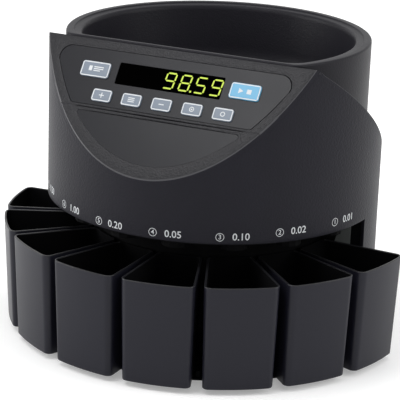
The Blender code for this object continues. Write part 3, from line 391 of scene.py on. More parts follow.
# %% Finishes
def tinted(colour, factor):
    """A colour made darker or lighter by a factor, with the fourth value that sockets want."""
    return (*[channel * factor for channel in colour], 1)


def moulded(name, colour, rough, cell=0.0011, depth=0.00003, drift=0.12, shine=0.5, metallic=0.0):
    """Plastic, rubber or metal with a grain of a given cell size and depth, in metres."""
    material = bpy.data.materials.new(name)
    material.use_nodes = True
    tree = material.node_tree
    shader = tree.nodes["Principled BSDF"]
    start = Signal(tree)
    place = start.node("ShaderNodeTexCoord", {}, {}, "Object")
    cloud_scale, rough_drift, speck_share = 26.0, 0.08, 0.6
    cloud = start.node("ShaderNodeTexNoise", {},
                       {"Vector": place, "Scale": cloud_scale, "Detail": 3.0}, 0)
    speck = start.node("ShaderNodeTexNoise", {}, {"Vector": place, "Scale": 1 / cell, "Detail": 2.0}, 0)
    pits = start.node("ShaderNodeTexVoronoi", {"feature": "SMOOTH_F1"},
                      {"Vector": place, "Scale": 1 / cell}, 0)
    shade = (cloud * 0.5 + speck * 0.5).mixed(tinted(colour, 1 - drift), tinted(colour, 1 + drift))
    grain = pits + speck * speck_share
    bump = start.node("ShaderNodeBump", {}, {"Height": grain, "Distance": depth, "Strength": 1.0})
    tree.links.new(shade.socket, shader.inputs["Base Color"])
    drifted = rough - rough_drift / 2 + cloud * rough_drift
    tree.links.new(drifted.socket, shader.inputs["Roughness"])
    tree.links.new(bump.socket, shader.inputs["Normal"])
    shader.inputs["Metallic"].default_value = metallic
    shader.inputs["Specular IOR Level"].default_value = shine
    return material


body_finish = moulded("charcoal_body", (0.0108, 0.0105, 0.0154), 0.46, cell=0.0016, depth=0.00020,
                      drift=0.35, shine=0.137)
hopper_finish = moulded("charcoal_hopper", (0.0105, 0.0100, 0.0136), 0.42, cell=0.0014,
                        depth=0.00010, shine=0.118)
black_finish = moulded("black_plastic", (0.003, 0.003, 0.0035), 0.6, shine=0.06)
cup_finish = moulded("cup_plastic", (0.0114, 0.0114, 0.0184), 0.36, cell=0.0007, depth=0.00001,
                     drift=0.06, shine=0.22)
cup_lip_finish = moulded("cup_lip", (0.0125, 0.0127, 0.0148), 0.30, depth=0.00001, drift=0.06,
                         shine=0.31)
# A pale colour for plates on the wall's wings: painted light, where the dark wall is lit beside the end
# cups.
light_plate_finish = moulded("painted_light_plate", (0.22, 0.235, 0.23), 0.4, depth=0.00001, drift=0.08, shine=0.3)
# The cups' insides: matt, and coloured near black as painted shade.
cup_shade_finish = moulded("cup_matt", (0.0025, 0.0025, 0.003), 0.8, cell=0.0009, shine=0.05)
fascia_finish = moulded("panel_plastic", (0.0118, 0.0116, 0.0144), 0.40, cell=0.0015, depth=0.00028,
                        drift=0.5, shine=0.22)
# A pale colour for the panel's rounded rim edge: a painted highlight, a thin light line.
rim_highlight_finish = moulded("panel_edge_painted_highlight", (0.062, 0.062, 0.068), 0.35, cell=0.0015, depth=0.00005, shine=0.3)
overlay_finish = moulded("overlay_film", (0.0048, 0.0050, 0.0080), 0.33, cell=0.0006, depth=0.00001,
                         drift=0.05, shine=0.20)
grey_key_finish = moulded("key_grey", (0.165, 0.20, 0.25), 0.42, cell=0.0008, depth=0.00001, drift=0.04)
blue_key_finish = moulded("key_blue", (0.13, 0.39, 0.60), 0.42, cell=0.0008, depth=0.00001, drift=0.04)
print_finish = moulded("white_print", (0.64, 0.66, 0.68), 0.5, cell=0.0005, depth=0.000005, drift=0.03)
rubber_finish = moulded("rubber", (0.020, 0.020, 0.020), 0.75)
window_finish = moulded("smoked_window", (0.0005, 0.0005, 0.0005), 0.3, depth=0.0, drift=0.3, shine=0.0)
block_finish = moulded("display_block", (0.020, 0.020, 0.020), 0.4)
steel_finish = moulded("steel", (0.55, 0.55, 0.56), 0.3, cell=0.0009, depth=0.00001, drift=0.1,
                       metallic=1.0)
bronze_finish = moulded("bearing_bronze", (0.45, 0.28, 0.12), 0.38, depth=0.00001, metallic=1.0)
acetal_finish = moulded("acetal", (0.72, 0.71, 0.67), 0.42, depth=0.00001, drift=0.04)
motor_finish = moulded("motor_can", (0.35, 0.35, 0.36), 0.35, depth=0.00001, metallic=1.0)
print("finishes:", len(bpy.data.materials))

# %% [markdown]
# ## Boards, laminations and the lit digits
# Inside, the circuit boards are lacquered glass fibre with a woven look, and the transformer's core
# is a stack of thin sheets. The digits glow, so they are an emission that the window's black sets
# off.

# %% Finishes of the inside and of the display
def striped(name, colour, rough, pitch, share, axis):
    """A finish with fine lines across one axis: the colour times (1 - share * wave)."""
    line_scale = 0.16 / pitch
    material = moulded(name, colour, rough)
    tree = material.node_tree
    start = Signal(tree)
    place = start.node("ShaderNodeTexCoord", {}, {}, "Object")
    wave = start.node("ShaderNodeTexWave", {"bands_direction": axis},
                      {"Vector": place, "Scale": line_scale}, 1)
    line = wave.mixed(tinted(colour, 1 - share), tinted(colour, 1))
    tree.links.new(line.socket, tree.nodes["Principled BSDF"].inputs["Base Color"])
    return material


def glowing(name, colour, strength):
    """A lit segment: its colour as light, up to a fifth dimmer in a fine noise."""
    material = bpy.data.materials.new(name)
    material.use_nodes = True
    tree = material.node_tree
    shader = tree.nodes["Principled BSDF"]
    start = Signal(tree)
    place = start.node("ShaderNodeTexCoord", {}, {}, "Object")
    cloud = start.node("ShaderNodeTexNoise", {}, {"Vector": place, "Scale": 600.0}, 0)
    shade = cloud.mixed(tinted(colour, 0.8), tinted(colour, 1))
    tree.links.new(shade.socket, shader.inputs["Emission Color"])
    shader.inputs["Base Color"].default_value = (0.02, 0.02, 0.01, 1)
    shader.inputs["Emission Strength"].default_value = strength
    return material


board_finish = striped("circuit_board", (0.02, 0.10, 0.04), 0.45, 0.0012, 0.25, "X")
core_finish = striped("laminations", (0.16, 0.15, 0.14), 0.55, 0.0010, 0.5, "Y")
digit_finish = glowing("lit_digits", (0.66, 0.86, 0.045), 1.0)
finish_of = {
    "charcoal_body": body_finish, "black_plastic": black_finish, "cup_plastic": cup_finish,
    "rubber": rubber_finish, "panel_plastic": fascia_finish, "overlay_film": overlay_finish,
    "key_grey": grey_key_finish, "key_blue": blue_key_finish, "smoked_window": window_finish,
    "display_block": block_finish, "circuit_board": board_finish, "steel": steel_finish,
    "bearing_bronze": bronze_finish, "acetal": acetal_finish, "motor_can": motor_finish,
    "laminations": core_finish}
for node in nodes.values():
    slot = node.data.materials[0].name.split(".")[0]
    node.data.materials[0] = finish_of[slot]
nodes["lower_inlay"].data.materials[0] = overlay_finish
print("dressed", len(nodes), "CAD nodes")

# %% [markdown]
# ## The sloping panel's own axes
# Keys, windows and inlays are laid out on the panel, so they are measured there: x to the right,
# v down the slope from the panel's top edge, and n out of it. One function turns such points into
# places in the world.

# %% Panel and roof
housing_radius = 0.148
panel_slope = radians(54.26)
panel_chord = 0.0796
panel_top = 0.2648
roof_level, roof_slope, roof_blend = 0.165, 0.70, 0.006
floor_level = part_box("main_housing")[0].z
up_slope = np.array([0, cos(panel_slope), sin(panel_slope)])
outward = np.array([0, -sin(panel_slope), cos(panel_slope)])


def on_panel(x, v, n=0.0):
    """World points of panel coordinates: origin + x X - v up + n outward."""
    x, v, n = np.broadcast_arrays(x, v, n)
    origin = spindle + [0, -panel_chord, panel_top]
    return origin + x[..., None] * [1, 0, 0] - v[..., None] * up_slope + n[..., None] * outward


def panel_height(y):
    """Height of the panel's plane over a place in plan."""
    return panel_top + (y + panel_chord) * tan(panel_slope)


def roof_height(y):
    """Height of the shoulders: a slope down to the rear that blends into a level roof."""
    gap = panel_top - roof_slope * (y + panel_chord) - roof_level
    return roof_level + (gap + np.sqrt(gap * gap + roof_blend ** 2)) / 2


def bowl_outline(radius, chord, corner, counts=(14, 240, 50)):
    """A circle cut off by a chord in front, with rounded corners: corner, sweep, corner, chord."""
    reach = radius - corner
    turn = acos((chord - corner) / reach)
    middle = reach * heading(turn)
    twin = middle * [-1, 1]
    first = arc(middle, corner, 0, turn, counts[0])
    sweep = arc((0, 0), radius, turn, 2 * pi - turn, counts[1])[1:-1]
    last = arc(twin, corner, -turn, 0, counts[0])
    share = np.linspace(0, 1, counts[2])[1:-1, None]
    front = last[-1] + share * (first[0] - last[-1])
    return np.vstack([first, sweep, last, front])


print("panel slope", round(panel_slope, 4), "roof at the back", round(float(roof_height(0.14)), 4))

# %% [markdown]
# ## Housing
# The housing is one moulded shell. Its wall is a cylinder whose lower front is cut away above the
# cups, its front top is cut by the panel, and its shoulders run down to the back. It could be cut
# from a solid cylinder, but a table of points keeps the shading clean: the columns go round, and
# each column's top height is the lower of the roof and the panel's seat.

# %% Wall and shoulders of the housing
skirt = 0.1205
plate = 0.0030
seat_drop = plate / cos(panel_slope)
shoulder_back = panel_chord - 0.0027
shoulder_turn = acos(shoulder_back / housing_radius)
skirt_back, bay_opening = 0.0065, 0.059
skirt_turn = acos(skirt_back / housing_radius)
bay_turn = pi - np.arcsin(bay_opening / housing_radius)
hole_radius = 0.1338
roof_round, roof_fade = 0.0024, radians(2.5)


def columns_between(*turns_and_counts):
    """Headings that run through given turns, with a count of steps between each two."""
    turns = [np.linspace(a, b, count, endpoint=False) for a, count, b in
             zip(turns_and_counts[0::2], turns_and_counts[1::2], turns_and_counts[2::2])]
    return np.concatenate(turns + [[turns_and_counts[-1]]])


front_turns = columns_between(-shoulder_turn, 116, shoulder_turn)
back_turns = columns_between(shoulder_turn, 60, skirt_turn, 130, bay_turn, 46, 2 * pi - bay_turn, 130,
                             2 * pi - skirt_turn, 60, 2 * pi - shoulder_turn)


def corner_cut(turn):
    """How far the rounding between roof and wall reaches, fading out where the panel starts."""
    gone = np.minimum(turn - shoulder_turn, 2 * pi - shoulder_turn - turn)
    share = np.clip(gone / roof_fade, 0, 1)
    return roof_round * share * share * (3 - 2 * share)


def wall_band(turns, top):
    """Rows down the outer wall, from a top height for each column to the skirt's bottom edge."""
    share = np.array([0, 0.02, 0.5, 0.97, 1.0])[:, None]
    plan = np.broadcast_to(housing_radius * heading(turns), (share.size, turns.size, 2))
    return raised(plan, top[None] * (1 - share) + skirt * share)


def roof_band(turns):
    """Rows from the hopper's hole out to the wall: in plan a straight run, in height the roof's
    formula, then the curve (1-t)^2 a + 2t(1-t) b + t^2 c round the edge."""
    hole_start = acos(shoulder_back / hole_radius)
    share = (turns - shoulder_turn) / (2 * (pi - shoulder_turn))
    hole_turns = hole_start + share * 2 * (pi - hole_start)
    inner = hole_radius * heading(hole_turns)
    cut = corner_cut(turns)
    outer = (housing_radius - cut)[:, None] * heading(turns)
    run = np.linspace(0, 1, 7)[:, None, None]
    plan = inner * (1 - run) + outer * run
    flat = raised(plan, roof_height(plan[..., 1]))
    edge = housing_radius * heading(turns)
    height = roof_height(edge[:, 1])
    a = flat[-1]
    b = raised(edge, height)
    c = raised(edge, height - cut)
    t = np.linspace(0, 1, 8)[1:, None, None]
    bend = (1 - t) ** 2 * a + 2 * t * (1 - t) * b + t ** 2 * c
    return np.concatenate([flat, bend])


front_top = panel_height(housing_radius * heading(front_turns)[:, 1]) - seat_drop
back_edge = roof_height(housing_radius * heading(back_turns)[:, 1]) - corner_cut(back_turns)
front_top[[0, -1]] = back_edge[[-1, 0]]
low_right = back_turns[(back_turns >= skirt_turn - 1e-9) & (back_turns <= bay_turn + 1e-9)]
low_left = 2 * pi - low_right


def lower_band(turns):
    """Rows from the skirt's level down to the table, for the back half of the wall."""
    height = np.linspace(skirt, floor_level, 6)[:, None]
    plan = np.broadcast_to(housing_radius * heading(turns), (height.size, turns.size, 2))
    return raised(plan, height)


sheets = [wall_band(front_turns, front_top), wall_band(back_turns, back_edge), roof_band(back_turns),
          lower_band(low_right), lower_band(low_left)]
points, faces = joined(sheets)
housing = add_piece("housing_shell", points + spindle, faces, body_finish, stands_for=["main_housing"],
                    outward=(0, 0.012, 0.14))
thicken(housing, thickness=0.003, edge=0.0002)
print("housing faces:", len(faces))

# %% [markdown]
# The boards and the transformer need more room than the cylinder gives, so the back has a low box
# with a lid of its own, the service panel. The box is one profile, up a side, over and down,
# carried from the cylinder to the back.

# %% Rear bay of the housing
bay_half = 0.062
bay_roof = 0.125
bay_corner = 0.005
bay_root = 0.1465
bay_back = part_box("main_housing")[1].y - spindle[1]


def bay_profile():
    """Up the left side, across and down the right side, with rounded corners: x and height."""
    corners = [(-bay_half, floor_level), (-bay_half, bay_roof), (bay_half, bay_roof),
               (bay_half, floor_level)]
    return softened(corners, [0, bay_corner, bay_corner, 0], 9)


profile = bay_profile()
start = np.sqrt(bay_root ** 2 - profile[:, 0] ** 2)
share = np.linspace(0, 1, 5)[:, None]
depth = start * (1 - share) + bay_back * share
bay = np.stack([np.broadcast_to(profile[:, 0], depth.shape), depth,
                np.broadcast_to(profile[:, 1], depth.shape)], axis=-1)
points, faces = joined([bay])
rear_bay = add_piece("housing_rear_bay", points + spindle, faces, body_finish,
                     outward=(0, 0.15, 0.05))
thicken(rear_bay, thickness=0.0028, edge=0.0005)
print("rear bay", bay.shape)

# %% [markdown]
# ## Hopper
# The hopper is a bowl with a flat front, and its outer wall stands in the housing. Its outlines
# all have the same number of points, so any height can blend two of them. The profile is written
# as pairs of inset and height, and the inset picks the outline: 0 is the outer wall, 14.5 mm the
# inner lip, and 63.5 mm the throat over the feed cone.

# %% Hopper
rim_top = 0.266
insets = np.array([0, 0.002, 0.0068, 0.0145, 0.0205, 0.0635])
wall_radius, wall_chord, wall_corner, wall_round = 0.1335, 0.0793, 0.012, 0.002
lip_radius, lip_chord, lip_corner = 0.119, 0.0715, 0.020
step_out, bowl_in, throat_radius = 0.0077, 0.006, 0.070
hopper_foot, throat_top, funnel_top, ledge = 0.155, 0.161, 0.215, 0.261


def hopper_outlines():
    """Outlines at the insets above: two of the outer wall, three of the bowl, and the throat."""
    def bowl(out):
        """The bowl's outline, moved out by a distance."""
        return bowl_outline(lip_radius + out, lip_chord + out / 2, lip_corner + out / 2)

    outer = bowl_outline(wall_radius, wall_chord, wall_corner)
    rounded = bowl_outline(wall_radius - wall_round, wall_chord - wall_round, wall_corner - wall_round)
    throat = outer / np.linalg.norm(outer, axis=1)[:, None] * throat_radius
    return np.stack([outer, rounded, bowl(step_out), bowl(0), bowl(-bowl_in), throat])


def hopper_profile():
    """Inset and height: up the outer wall, over the stepped rim, down the bowl and funnel, and
    back up underneath."""
    corners = [(0, hopper_foot), (0, rim_top), (0.0066, rim_top), (0.0072, rim_top - 0.0012),
               (0.0132, rim_top - 0.0018), (0.0145, rim_top - 0.0045), (0.0205, funnel_top),
               (0.0635, throat_top), (0.0635, hopper_foot), (0.0605, hopper_foot), (0.0605, 0.160),
               (0.0175, 0.2135), (0.0115, ledge), (0.003, ledge), (0.003, hopper_foot)]
    radii = [0, 0.002, 0.0005, 0.0004, 0.0018, 0.0015, 0.012, 0.004, 0, 0, 0, 0, 0, 0, 0]
    return softened(corners, radii, 7)


outlines = hopper_outlines()
profile = hopper_profile()
station = np.interp(profile[:, 0], insets, np.arange(6))
low = np.clip(station.astype(int), 0, 4)
share = (station - low)[:, None, None]
plan = outlines[low] * (1 - share) + outlines[low + 1] * share
table = raised(plan, profile[:, 1:])
faces = cells(*table.shape[:2], ring=True, tube=True)
add_piece("hopper_bowl", table.reshape(-1, 3) + spindle, faces, hopper_finish, stands_for=["hopper"])
print("hopper", table.shape)

# %% [markdown]
# ## Control panel
# The raised panel is a half moon with two windows in it, for the keypad and for the inlay below.
# A plate with holes is awkward as one table, but each window's frame is a ring: an outer outline
# blended into an inner one, with a profile that rounds both edges. Two rings meet in the thin
# groove between the windows. The outer edge goes straight down in the world, not square to the
# slope, so its lower rows slide down the slope. Its wall gets the housing's darker, duller finish
# as painted shade, and the round edge over it a much paler colour as a painted highlight, a thin light
# line.

# %% Frames of the control panel
def panel_arc(radius, turns):
    """Panel points on an upright cylinder round the spindle: x and v."""
    v = (radius * np.cos(turns) - panel_chord) / cos(panel_slope)
    return np.column_stack([radius * np.sin(turns), v])


def turn_at(radius, v):
    """Heading at which the cylinder meets the panel's line v."""
    return acos(min(1.0, (panel_chord + v * cos(panel_slope)) / radius))


def resample(line, count):
    """Points at equal distances along a line, without its end point."""
    length = np.concatenate([[0], np.cumsum(np.linalg.norm(np.diff(line, axis=0), axis=1))])
    at = np.linspace(0, length[-1], count, endpoint=False)
    return np.column_stack([np.interp(at, length, line[:, 0]), np.interp(at, length, line[:, 1])])


bend_steps = 25


def fillet(before, corner, after, radius, steps=bend_steps):
    """A circular arc that rounds a corner, from the leg before it to the leg after it: two radii
    of the arc, blended by sin((1-t) w) / sin(w) and sin(t w) / sin(w)."""
    if radius == 0:
        return np.tile(corner, (steps, 1))
    back = (before - corner) / np.linalg.norm(before - corner)
    ahead = (after - corner) / np.linalg.norm(after - corner)
    half = acos(back @ ahead) / 2
    middle = corner + (back + ahead) / np.linalg.norm(back + ahead) * radius / sin(half)
    share = np.linspace(0, 1, steps)[:, None]
    sweep = pi - 2 * half
    first = corner + back * radius / tan(half) - middle
    last = corner + ahead * radius / tan(half) - middle
    blend = np.sin((1 - share) * sweep) * first + np.sin(share * sweep) * last
    return middle + blend / sin(sweep)


def frame_outline(radius, top, foot, corner, foot_corner, counts):
    """A window's outline from the middle of its top edge, clockwise. Its right half is cut at the
    middles of the rounded corners, so that two outlines pair up point by point."""
    leg, middle = 30, bend_steps // 2
    flank = panel_arc(radius, np.linspace(turn_at(radius, top), turn_at(radius, foot), 240))
    head_bend = fillet(np.array([0, top]), flank[0], flank[leg], corner)
    foot_bend = fillet(flank[-1 - leg], flank[-1], np.array([0, foot]), foot_corner)
    far = flank[:, 1] > head_bend[-1, 1] + 1e-5
    near = flank[:, 1] < foot_bend[0, 1] - 1e-5
    kept = flank[far & near]
    head = resample(np.vstack([[(0, top)], head_bend[:middle + 1]]), counts[0])
    side = resample(np.vstack([head_bend[middle:], kept, foot_bend[:middle + 1]]), counts[1])
    base = resample(np.vstack([foot_bend[middle:], [(0, foot)]]), counts[2])
    half = np.vstack([head, side, base])
    return np.vstack([half, [(0, foot)], half[1:][::-1] * [-1, 1]])


def window_frame(outer, inner, slide, spread, soft, edge):
    """Rows from the foot of the outer wall over both rounded edges to the foot of the inner wall.
    The outer wall slides down the slope and spreads in proportion to its depth. soft and edge are
    the radii of the outer and the inner edge at each point."""
    across = inner - outer
    across /= np.linalg.norm(across, axis=1)[:, None]
    turn = np.linspace(0, pi / 2, 6)[:, None]
    outer_in = np.vstack([np.zeros((1, len(outer))), soft * (1 - np.cos(turn))])
    outer_down = np.vstack([np.full((1, len(outer)), plate), soft * (1 - np.sin(turn))])
    inner_in = np.vstack([edge * (1 - np.cos(turn[::-1])), np.zeros((1, len(outer)))])
    inner_down = np.vstack([edge * (1 - np.sin(turn[::-1])), np.full((1, len(outer)), plate)])
    first = outer + across * outer_in[..., None]
    first = first + np.stack([spread * outer_down, slide * outer_down], axis=-1)
    second = inner - across * inner_in[..., None]
    flat = np.concatenate([first, second])
    down = np.concatenate([outer_down, inner_down])
    return on_panel(flat[..., 0], flat[..., 1], -down)


rim_round = 0.0009
seam = 0.06205
clear, groove, thin = 0.0003, 0.00015, 0.00002


def seam_open(x, on_seam):
    """1 where the seam between the windows is open, fading out to 0 near its ends."""
    open_half, fade = 0.080, 0.003
    return on_seam * np.clip((open_half - x) / fade, 0, 1)


def keypad_frame():
    """The upper frame, round the keypad. Its head's wall goes straight down, but square to the slope
    at the ends."""
    wall, head, foot, corner, foot_corner = 0.0068, 0.0087, 0.0594, 0.0105, 0.0022
    head_half, head_fade, tip_spread = 0.112, 0.01, 0.47
    counts = (90, 120, 60)
    outer = frame_outline(housing_radius, 0, seam, 0, 0, counts)
    radius = housing_radius - wall + clear
    inner = frame_outline(radius, head - clear, foot + clear, corner, foot_corner, counts)
    x = np.abs(outer[:, 0])
    on_head = outer[:, 1] < 1e-9
    on_foot = np.abs(outer[:, 1] - seam) < 1e-9
    open_here = seam_open(x, on_foot)
    outer[:, 1] -= groove * open_here
    corner_foot = on_foot & (x > x[on_foot].max() - 1e-6)
    straight_down = tan(panel_slope)
    on_middle = np.clip((head_half - x) / head_fade, 0, 1)
    slide = np.where(on_head, straight_down * on_middle, straight_down)
    slide = np.where(on_foot & ~corner_foot, 0, slide)
    spread = np.where(on_head & (x > x[on_head].max() - 1e-6), tip_spread, 0) * np.sign(outer[:, 0])
    edge = np.full(len(outer), 0.0004)
    soft = np.where(on_foot, thin + 0.0004 * open_here, rim_round)
    return window_frame(outer, inner, slide, spread, soft, edge)


def inlay_frame():
    """The lower frame, round the inlay. Its head is a bead, with both edges rounded until they
    nearly meet."""
    wall, gap, head, corner = 0.007, 0.00005, 0.0656, 0.0022
    counts = (60, 120, 2)
    tip = (housing_radius - panel_chord) / cos(panel_slope)
    outer = frame_outline(housing_radius, seam, tip, 0, 0, counts)
    radius = housing_radius - wall + gap
    inner_tip = (radius - panel_chord) / cos(panel_slope)
    inner = frame_outline(radius, head - clear, inner_tip, corner, 0, counts)
    x = np.abs(outer[:, 0])
    on_head = (np.abs(outer[:, 1] - seam) < 1e-9) & (x < x.max() - 1e-6)
    open_here = seam_open(x, on_head)
    outer[:, 1] += groove * open_here
    slide = np.where(on_head, 0, tan(panel_slope))
    soft = np.where(on_head, thin + 0.0013 * open_here, rim_round)
    edge = np.where(on_head, 0.0001 + 0.0012 * open_here, 0.0001)
    return window_frame(outer, inner, slide, 0 * slide, soft, edge)


points, faces = joined([keypad_frame(), inlay_frame()], ring=True, tube=True)
fascia = add_piece("panel_fascia", points, faces, fascia_finish, stands_for=["control_panel"])
centre = read_polygons(fascia.data, "center") - spindle
normal = read_polygons(fascia.data, "normal")
rim = np.hypot(centre[:, 0], centre[:, 1]) > housing_radius - rim_round
# The rim's wall takes the darker, duller housing finish as painted shade, and its rounded edge the pale
# rim colour as a painted highlight.
wall_lean, edge_lean = 0.15, 0.56
rim_wall = rim & (normal[:, 2] < wall_lean)
rim_highlight = rim & ~rim_wall & (normal[:, 2] < edge_lean)
fascia.data.materials.append(body_finish)
fascia.data.materials.append(rim_highlight_finish)
fascia.data.polygons.foreach_set("material_index", rim_wall + 2 * rim_highlight.astype(np.int32))
print("fascia points:", len(points))

# %% [markdown]
# ## Keys
# Each key is a soft rounded block with a pale printed edge. Its outline is a rectangle with
# rounded corners; the rows go up the side, round the edge and in over a barely crowned top. The
# top's outermost rows carry the print, as a second material on those faces.

# %% Keys
def rounded_box(width, height, corner, steps=9):
    """A rectangle with rounded corners, from four quarter circles."""
    turn = np.linspace(0, pi / 2, steps)
    quarter = corner * np.column_stack([np.cos(turn), np.sin(turn)])
    reach = np.array([width / 2 - corner, height / 2 - corner])
    sides = []
    for sign, c, s in (((1, 1), 1, 0), ((-1, 1), 0, 1), ((-1, -1), -1, 0), ((1, -1), 0, -1)):
        sides.append(sign * reach + quarter @ np.array([[c, s], [-s, c]]))
    return np.vstack(sides)


def key_block(x, v, width, height):
    """Rows of a key: foot, side, rounded edge, printed border, crowned top."""
    turn = np.linspace(0, pi / 2, 6)
    edge, proud, crown, foot, corner, least_corner = 0.0005, 0.0016, 0.00015, -0.0012, 0.0022, 0.0004
    inset = np.concatenate([[0, 0], edge * (1 - np.cos(turn[1:])), [0.0012, 0.0013, 0.0018, 0.0032]])
    lift = np.concatenate([[foot], [proud - edge], proud - edge * (1 - np.sin(turn[1:])),
                           [proud, proud, proud + crown * 0.5, proud + crown]])
    lift -= crown
    table = np.stack([rounded_box(width - 2 * a, height - 2 * a, max(corner - a, least_corner))
                      for a in inset])
    return on_panel(x + table[..., 0], v - table[..., 1], lift[:, None])


wide_reach, wide_row, wide_size = 0.0695, 0.0281, (0.0268, 0.014)
small_pitch, small_row, small_size = 0.0281, 0.0505, (0.018, 0.011)
border_width = 0.00125
keys = [("report_button", -wide_reach, wide_row, *wide_size),
        ("start_stop_button", wide_reach, wide_row, *wide_size)]
keys += [(f"function_button_{i + 1}", (i - 2) * small_pitch, small_row, *small_size) for i in range(5)]
for name, x, v, width, height in keys:
    blue = name == "start_stop_button"
    points, faces = closed(key_block(x, v, width, height))
    finish, slot = (blue_key_finish, "key_blue") if blue else (grey_key_finish, "key_grey")
    key = add_piece(name + "_cap", points, faces, finish, body=name, stands_for=[name],
                    sharp=50)
    key.data.materials.append(print_finish)
    flat = read_polygons(key.data, "normal") @ outward > 0.9
    local = read_polygons(key.data, "center") - on_panel(x, v)
    reach_x = width / 2 - np.abs(local[:, 0])
    reach_v = height / 2 - np.abs(local @ up_slope)
    border = flat & (np.minimum(reach_x, reach_v) < border_width)
    key.data.polygons.foreach_set("material_index", border.astype(np.int32))
print("keys:", len(keys))

# %% [markdown]
# ## Marks and digits
# The marks on the keys are plain bars, arrows and rings. The display shows a number in seven
# segments, slanted a little, with gaps between the segments. Each mark is a flat outline lifted
# off its ground into a very thin plate, like ink that stands on the surface.

# %% Marks on the keys
def plates(name, outlines, place, thickness, finish, body="machine"):
    """Thin plates from flat outlines: place turns x, y and lift into world points."""
    points, faces, count = [], [], 0
    for outline in outlines:
        outline = np.asarray(outline, dtype=float)
        size = len(outline)
        for lift in (0.0, thickness):
            points.append(place(outline[:, 0], outline[:, 1], lift))
        ring = np.arange(size)
        faces.append((count + ring).tolist())
        faces.append((count + size + ring).tolist())
        beside = np.roll(ring, -1)
        walls = np.column_stack([ring, beside, size + beside, size + ring])
        faces += (count + walls).tolist()
        count += 2 * size
    return add_piece(name, np.vstack(points), faces, finish, body=body)


def bar(x, y, width, height):
    """An upright rectangle round a point."""
    a, b = width / 2, height / 2
    return [(x - a, y - b), (x + a, y - b), (x + a, y + b), (x - a, y + b)]


def ring_parts(x, y, radius, width, count=28):
    """A ring as short four-cornered pieces side by side."""
    turn = np.linspace(0, 2 * pi, count + 1)
    inner = np.column_stack([x + (radius - width) * np.cos(turn), y + (radius - width) * np.sin(turn)])
    outer = np.column_stack([x + radius * np.cos(turn), y + radius * np.sin(turn)])
    return [np.stack([inner[i], outer[i], outer[i + 1], inner[i + 1]]) for i in range(count)]


def disc(x, y, radius, count=28):
    """A flat disc round a point."""
    turn = np.linspace(0, 2 * pi, count, endpoint=False)
    return np.column_stack([x + radius * np.cos(turn), y + radius * np.sin(turn)])


mm = 0.001


def bar_mm(*sizes):
    """A bar with its place and size in millimetres."""
    return bar(*[size * mm for size in sizes])


marks = {
    "report_button": [bar_mm(-4.6, 0.4, 3.0, 4.4), bar_mm(3.0, 2.0, 9.0, 0.9),
                      bar_mm(3.0, 0.3, 9.0, 0.9), bar_mm(1.6, -1.4, 6.2, 0.9)],
    "start_stop_button": [[(-5.6 * mm, -2.4 * mm), (-1.4 * mm, 0), (-5.6 * mm, 2.4 * mm)],
                          bar_mm(3.8, 0, 4.0, 4.0)],
    "function_button_1": [bar_mm(0, 0, 4.6, 0.9), bar_mm(0, 1.4, 0.9, 1.9), bar_mm(0, -1.4, 0.9, 1.9)],
    "function_button_2": [bar_mm(0, y, 6.0, 0.8) for y in (-1.6, 0, 1.6)],
    "function_button_3": [bar_mm(0, 0, 4.6, 0.9)],
    "function_button_4": ring_parts(0, 0, 2.2 * mm, 0.7 * mm) + [disc(0, 0, 0.7 * mm)],
    "function_button_5": ring_parts(0, 0, 2.2 * mm, 0.8 * mm),
}
key_top = 0.00158
mark_thickness = 0.00008
for name, x, v, width, height in keys:
    def on_key(a, b, lift, x=x, v=v):
        """World points on the top of this key."""
        return on_panel(x + a, v - b, key_top + lift)
    plates(name + "_mark", marks[name], on_key, mark_thickness, print_finish, body=name)

# %% Digits of the display
def segment_outlines(left, width, height, stroke, slant, lit):
    """Hexagons of a slanted seven-segment digit: each follows a stroke's middle line, pointed at
    both ends, with a gap to the next."""
    half, gap = stroke / 2, 0.0004
    x0, x1 = half, width - half
    y0, y1, y2 = half, height / 2, height - half
    lines = {"a": (x0, y2, x1, y2), "b": (x1, y1, x1, y2), "c": (x1, y0, x1, y1), "d": (x0, y0, x1, y0),
             "e": (x0, y0, x0, y1), "f": (x0, y1, x0, y2), "g": (x0, y1, x1, y1)}
    outlines = []
    for key in lit:
        ax, ay, bx, by = lines[key]
        start, end = np.array([ax, ay]), np.array([bx, by])
        along = (end - start) / np.linalg.norm(end - start)
        across = np.array([-along[1], along[0]])
        start, end = start + along * gap, end - along * gap
        ahead, aside = along * half, across * half
        shape = np.array([start, start + ahead - aside, end - ahead - aside, end,
                          end - ahead + aside, start + ahead + aside])
        shape[:, 0] += left + (shape[:, 1] - height / 2) * slant
        shape[:, 1] -= height / 2
        outlines.append(shape)
    return outlines


lit_segments = {"5": "acdfg", "8": "abcdefg", "9": "abcdfg"}
digit_width, digit_height, digit_pitch, digit_stroke, slant = 0.0098, 0.0150, 0.0142, 0.0013, 0.10
digits_right, point_size = 0.0480, 0.0016
digit_ground, digit_thickness = -0.0002, 0.00012
outlines = []
first_left = digits_right - digit_width - 3 * digit_pitch
for place_number, digit in enumerate("9859"):
    left = first_left + place_number * digit_pitch
    outlines += segment_outlines(left, digit_width, digit_height, digit_stroke, slant,
                                 lit_segments[digit])
point_x = first_left + digit_pitch + digit_width + point_size
outlines.append(bar(point_x, -digit_height / 2 + point_size / 2, point_size, point_size))
plates("display_digits", outlines, lambda a, b, lift: on_panel(a, wide_row - b, digit_ground + lift),
       digit_thickness, digit_finish)
print("display segments:", len(outlines))

# %% [markdown]
# ## Numbers on the skirt
# Over each cup stand the cup's number in a thin ring and the value of its coin, printed in white.
# A text object gives the glyphs. It is made a mesh first, and then each point's x becomes an angle
# round the housing and its y a height, so the print follows the curve.

# %% Printed numbers
glyph_weight = 0.009
index_x, index_size, value_x, value_size = -0.0106, 0.0057, 0.0070, 0.0086
ring_radius, ring_width, ring_count = 0.0036, 0.00048, 36


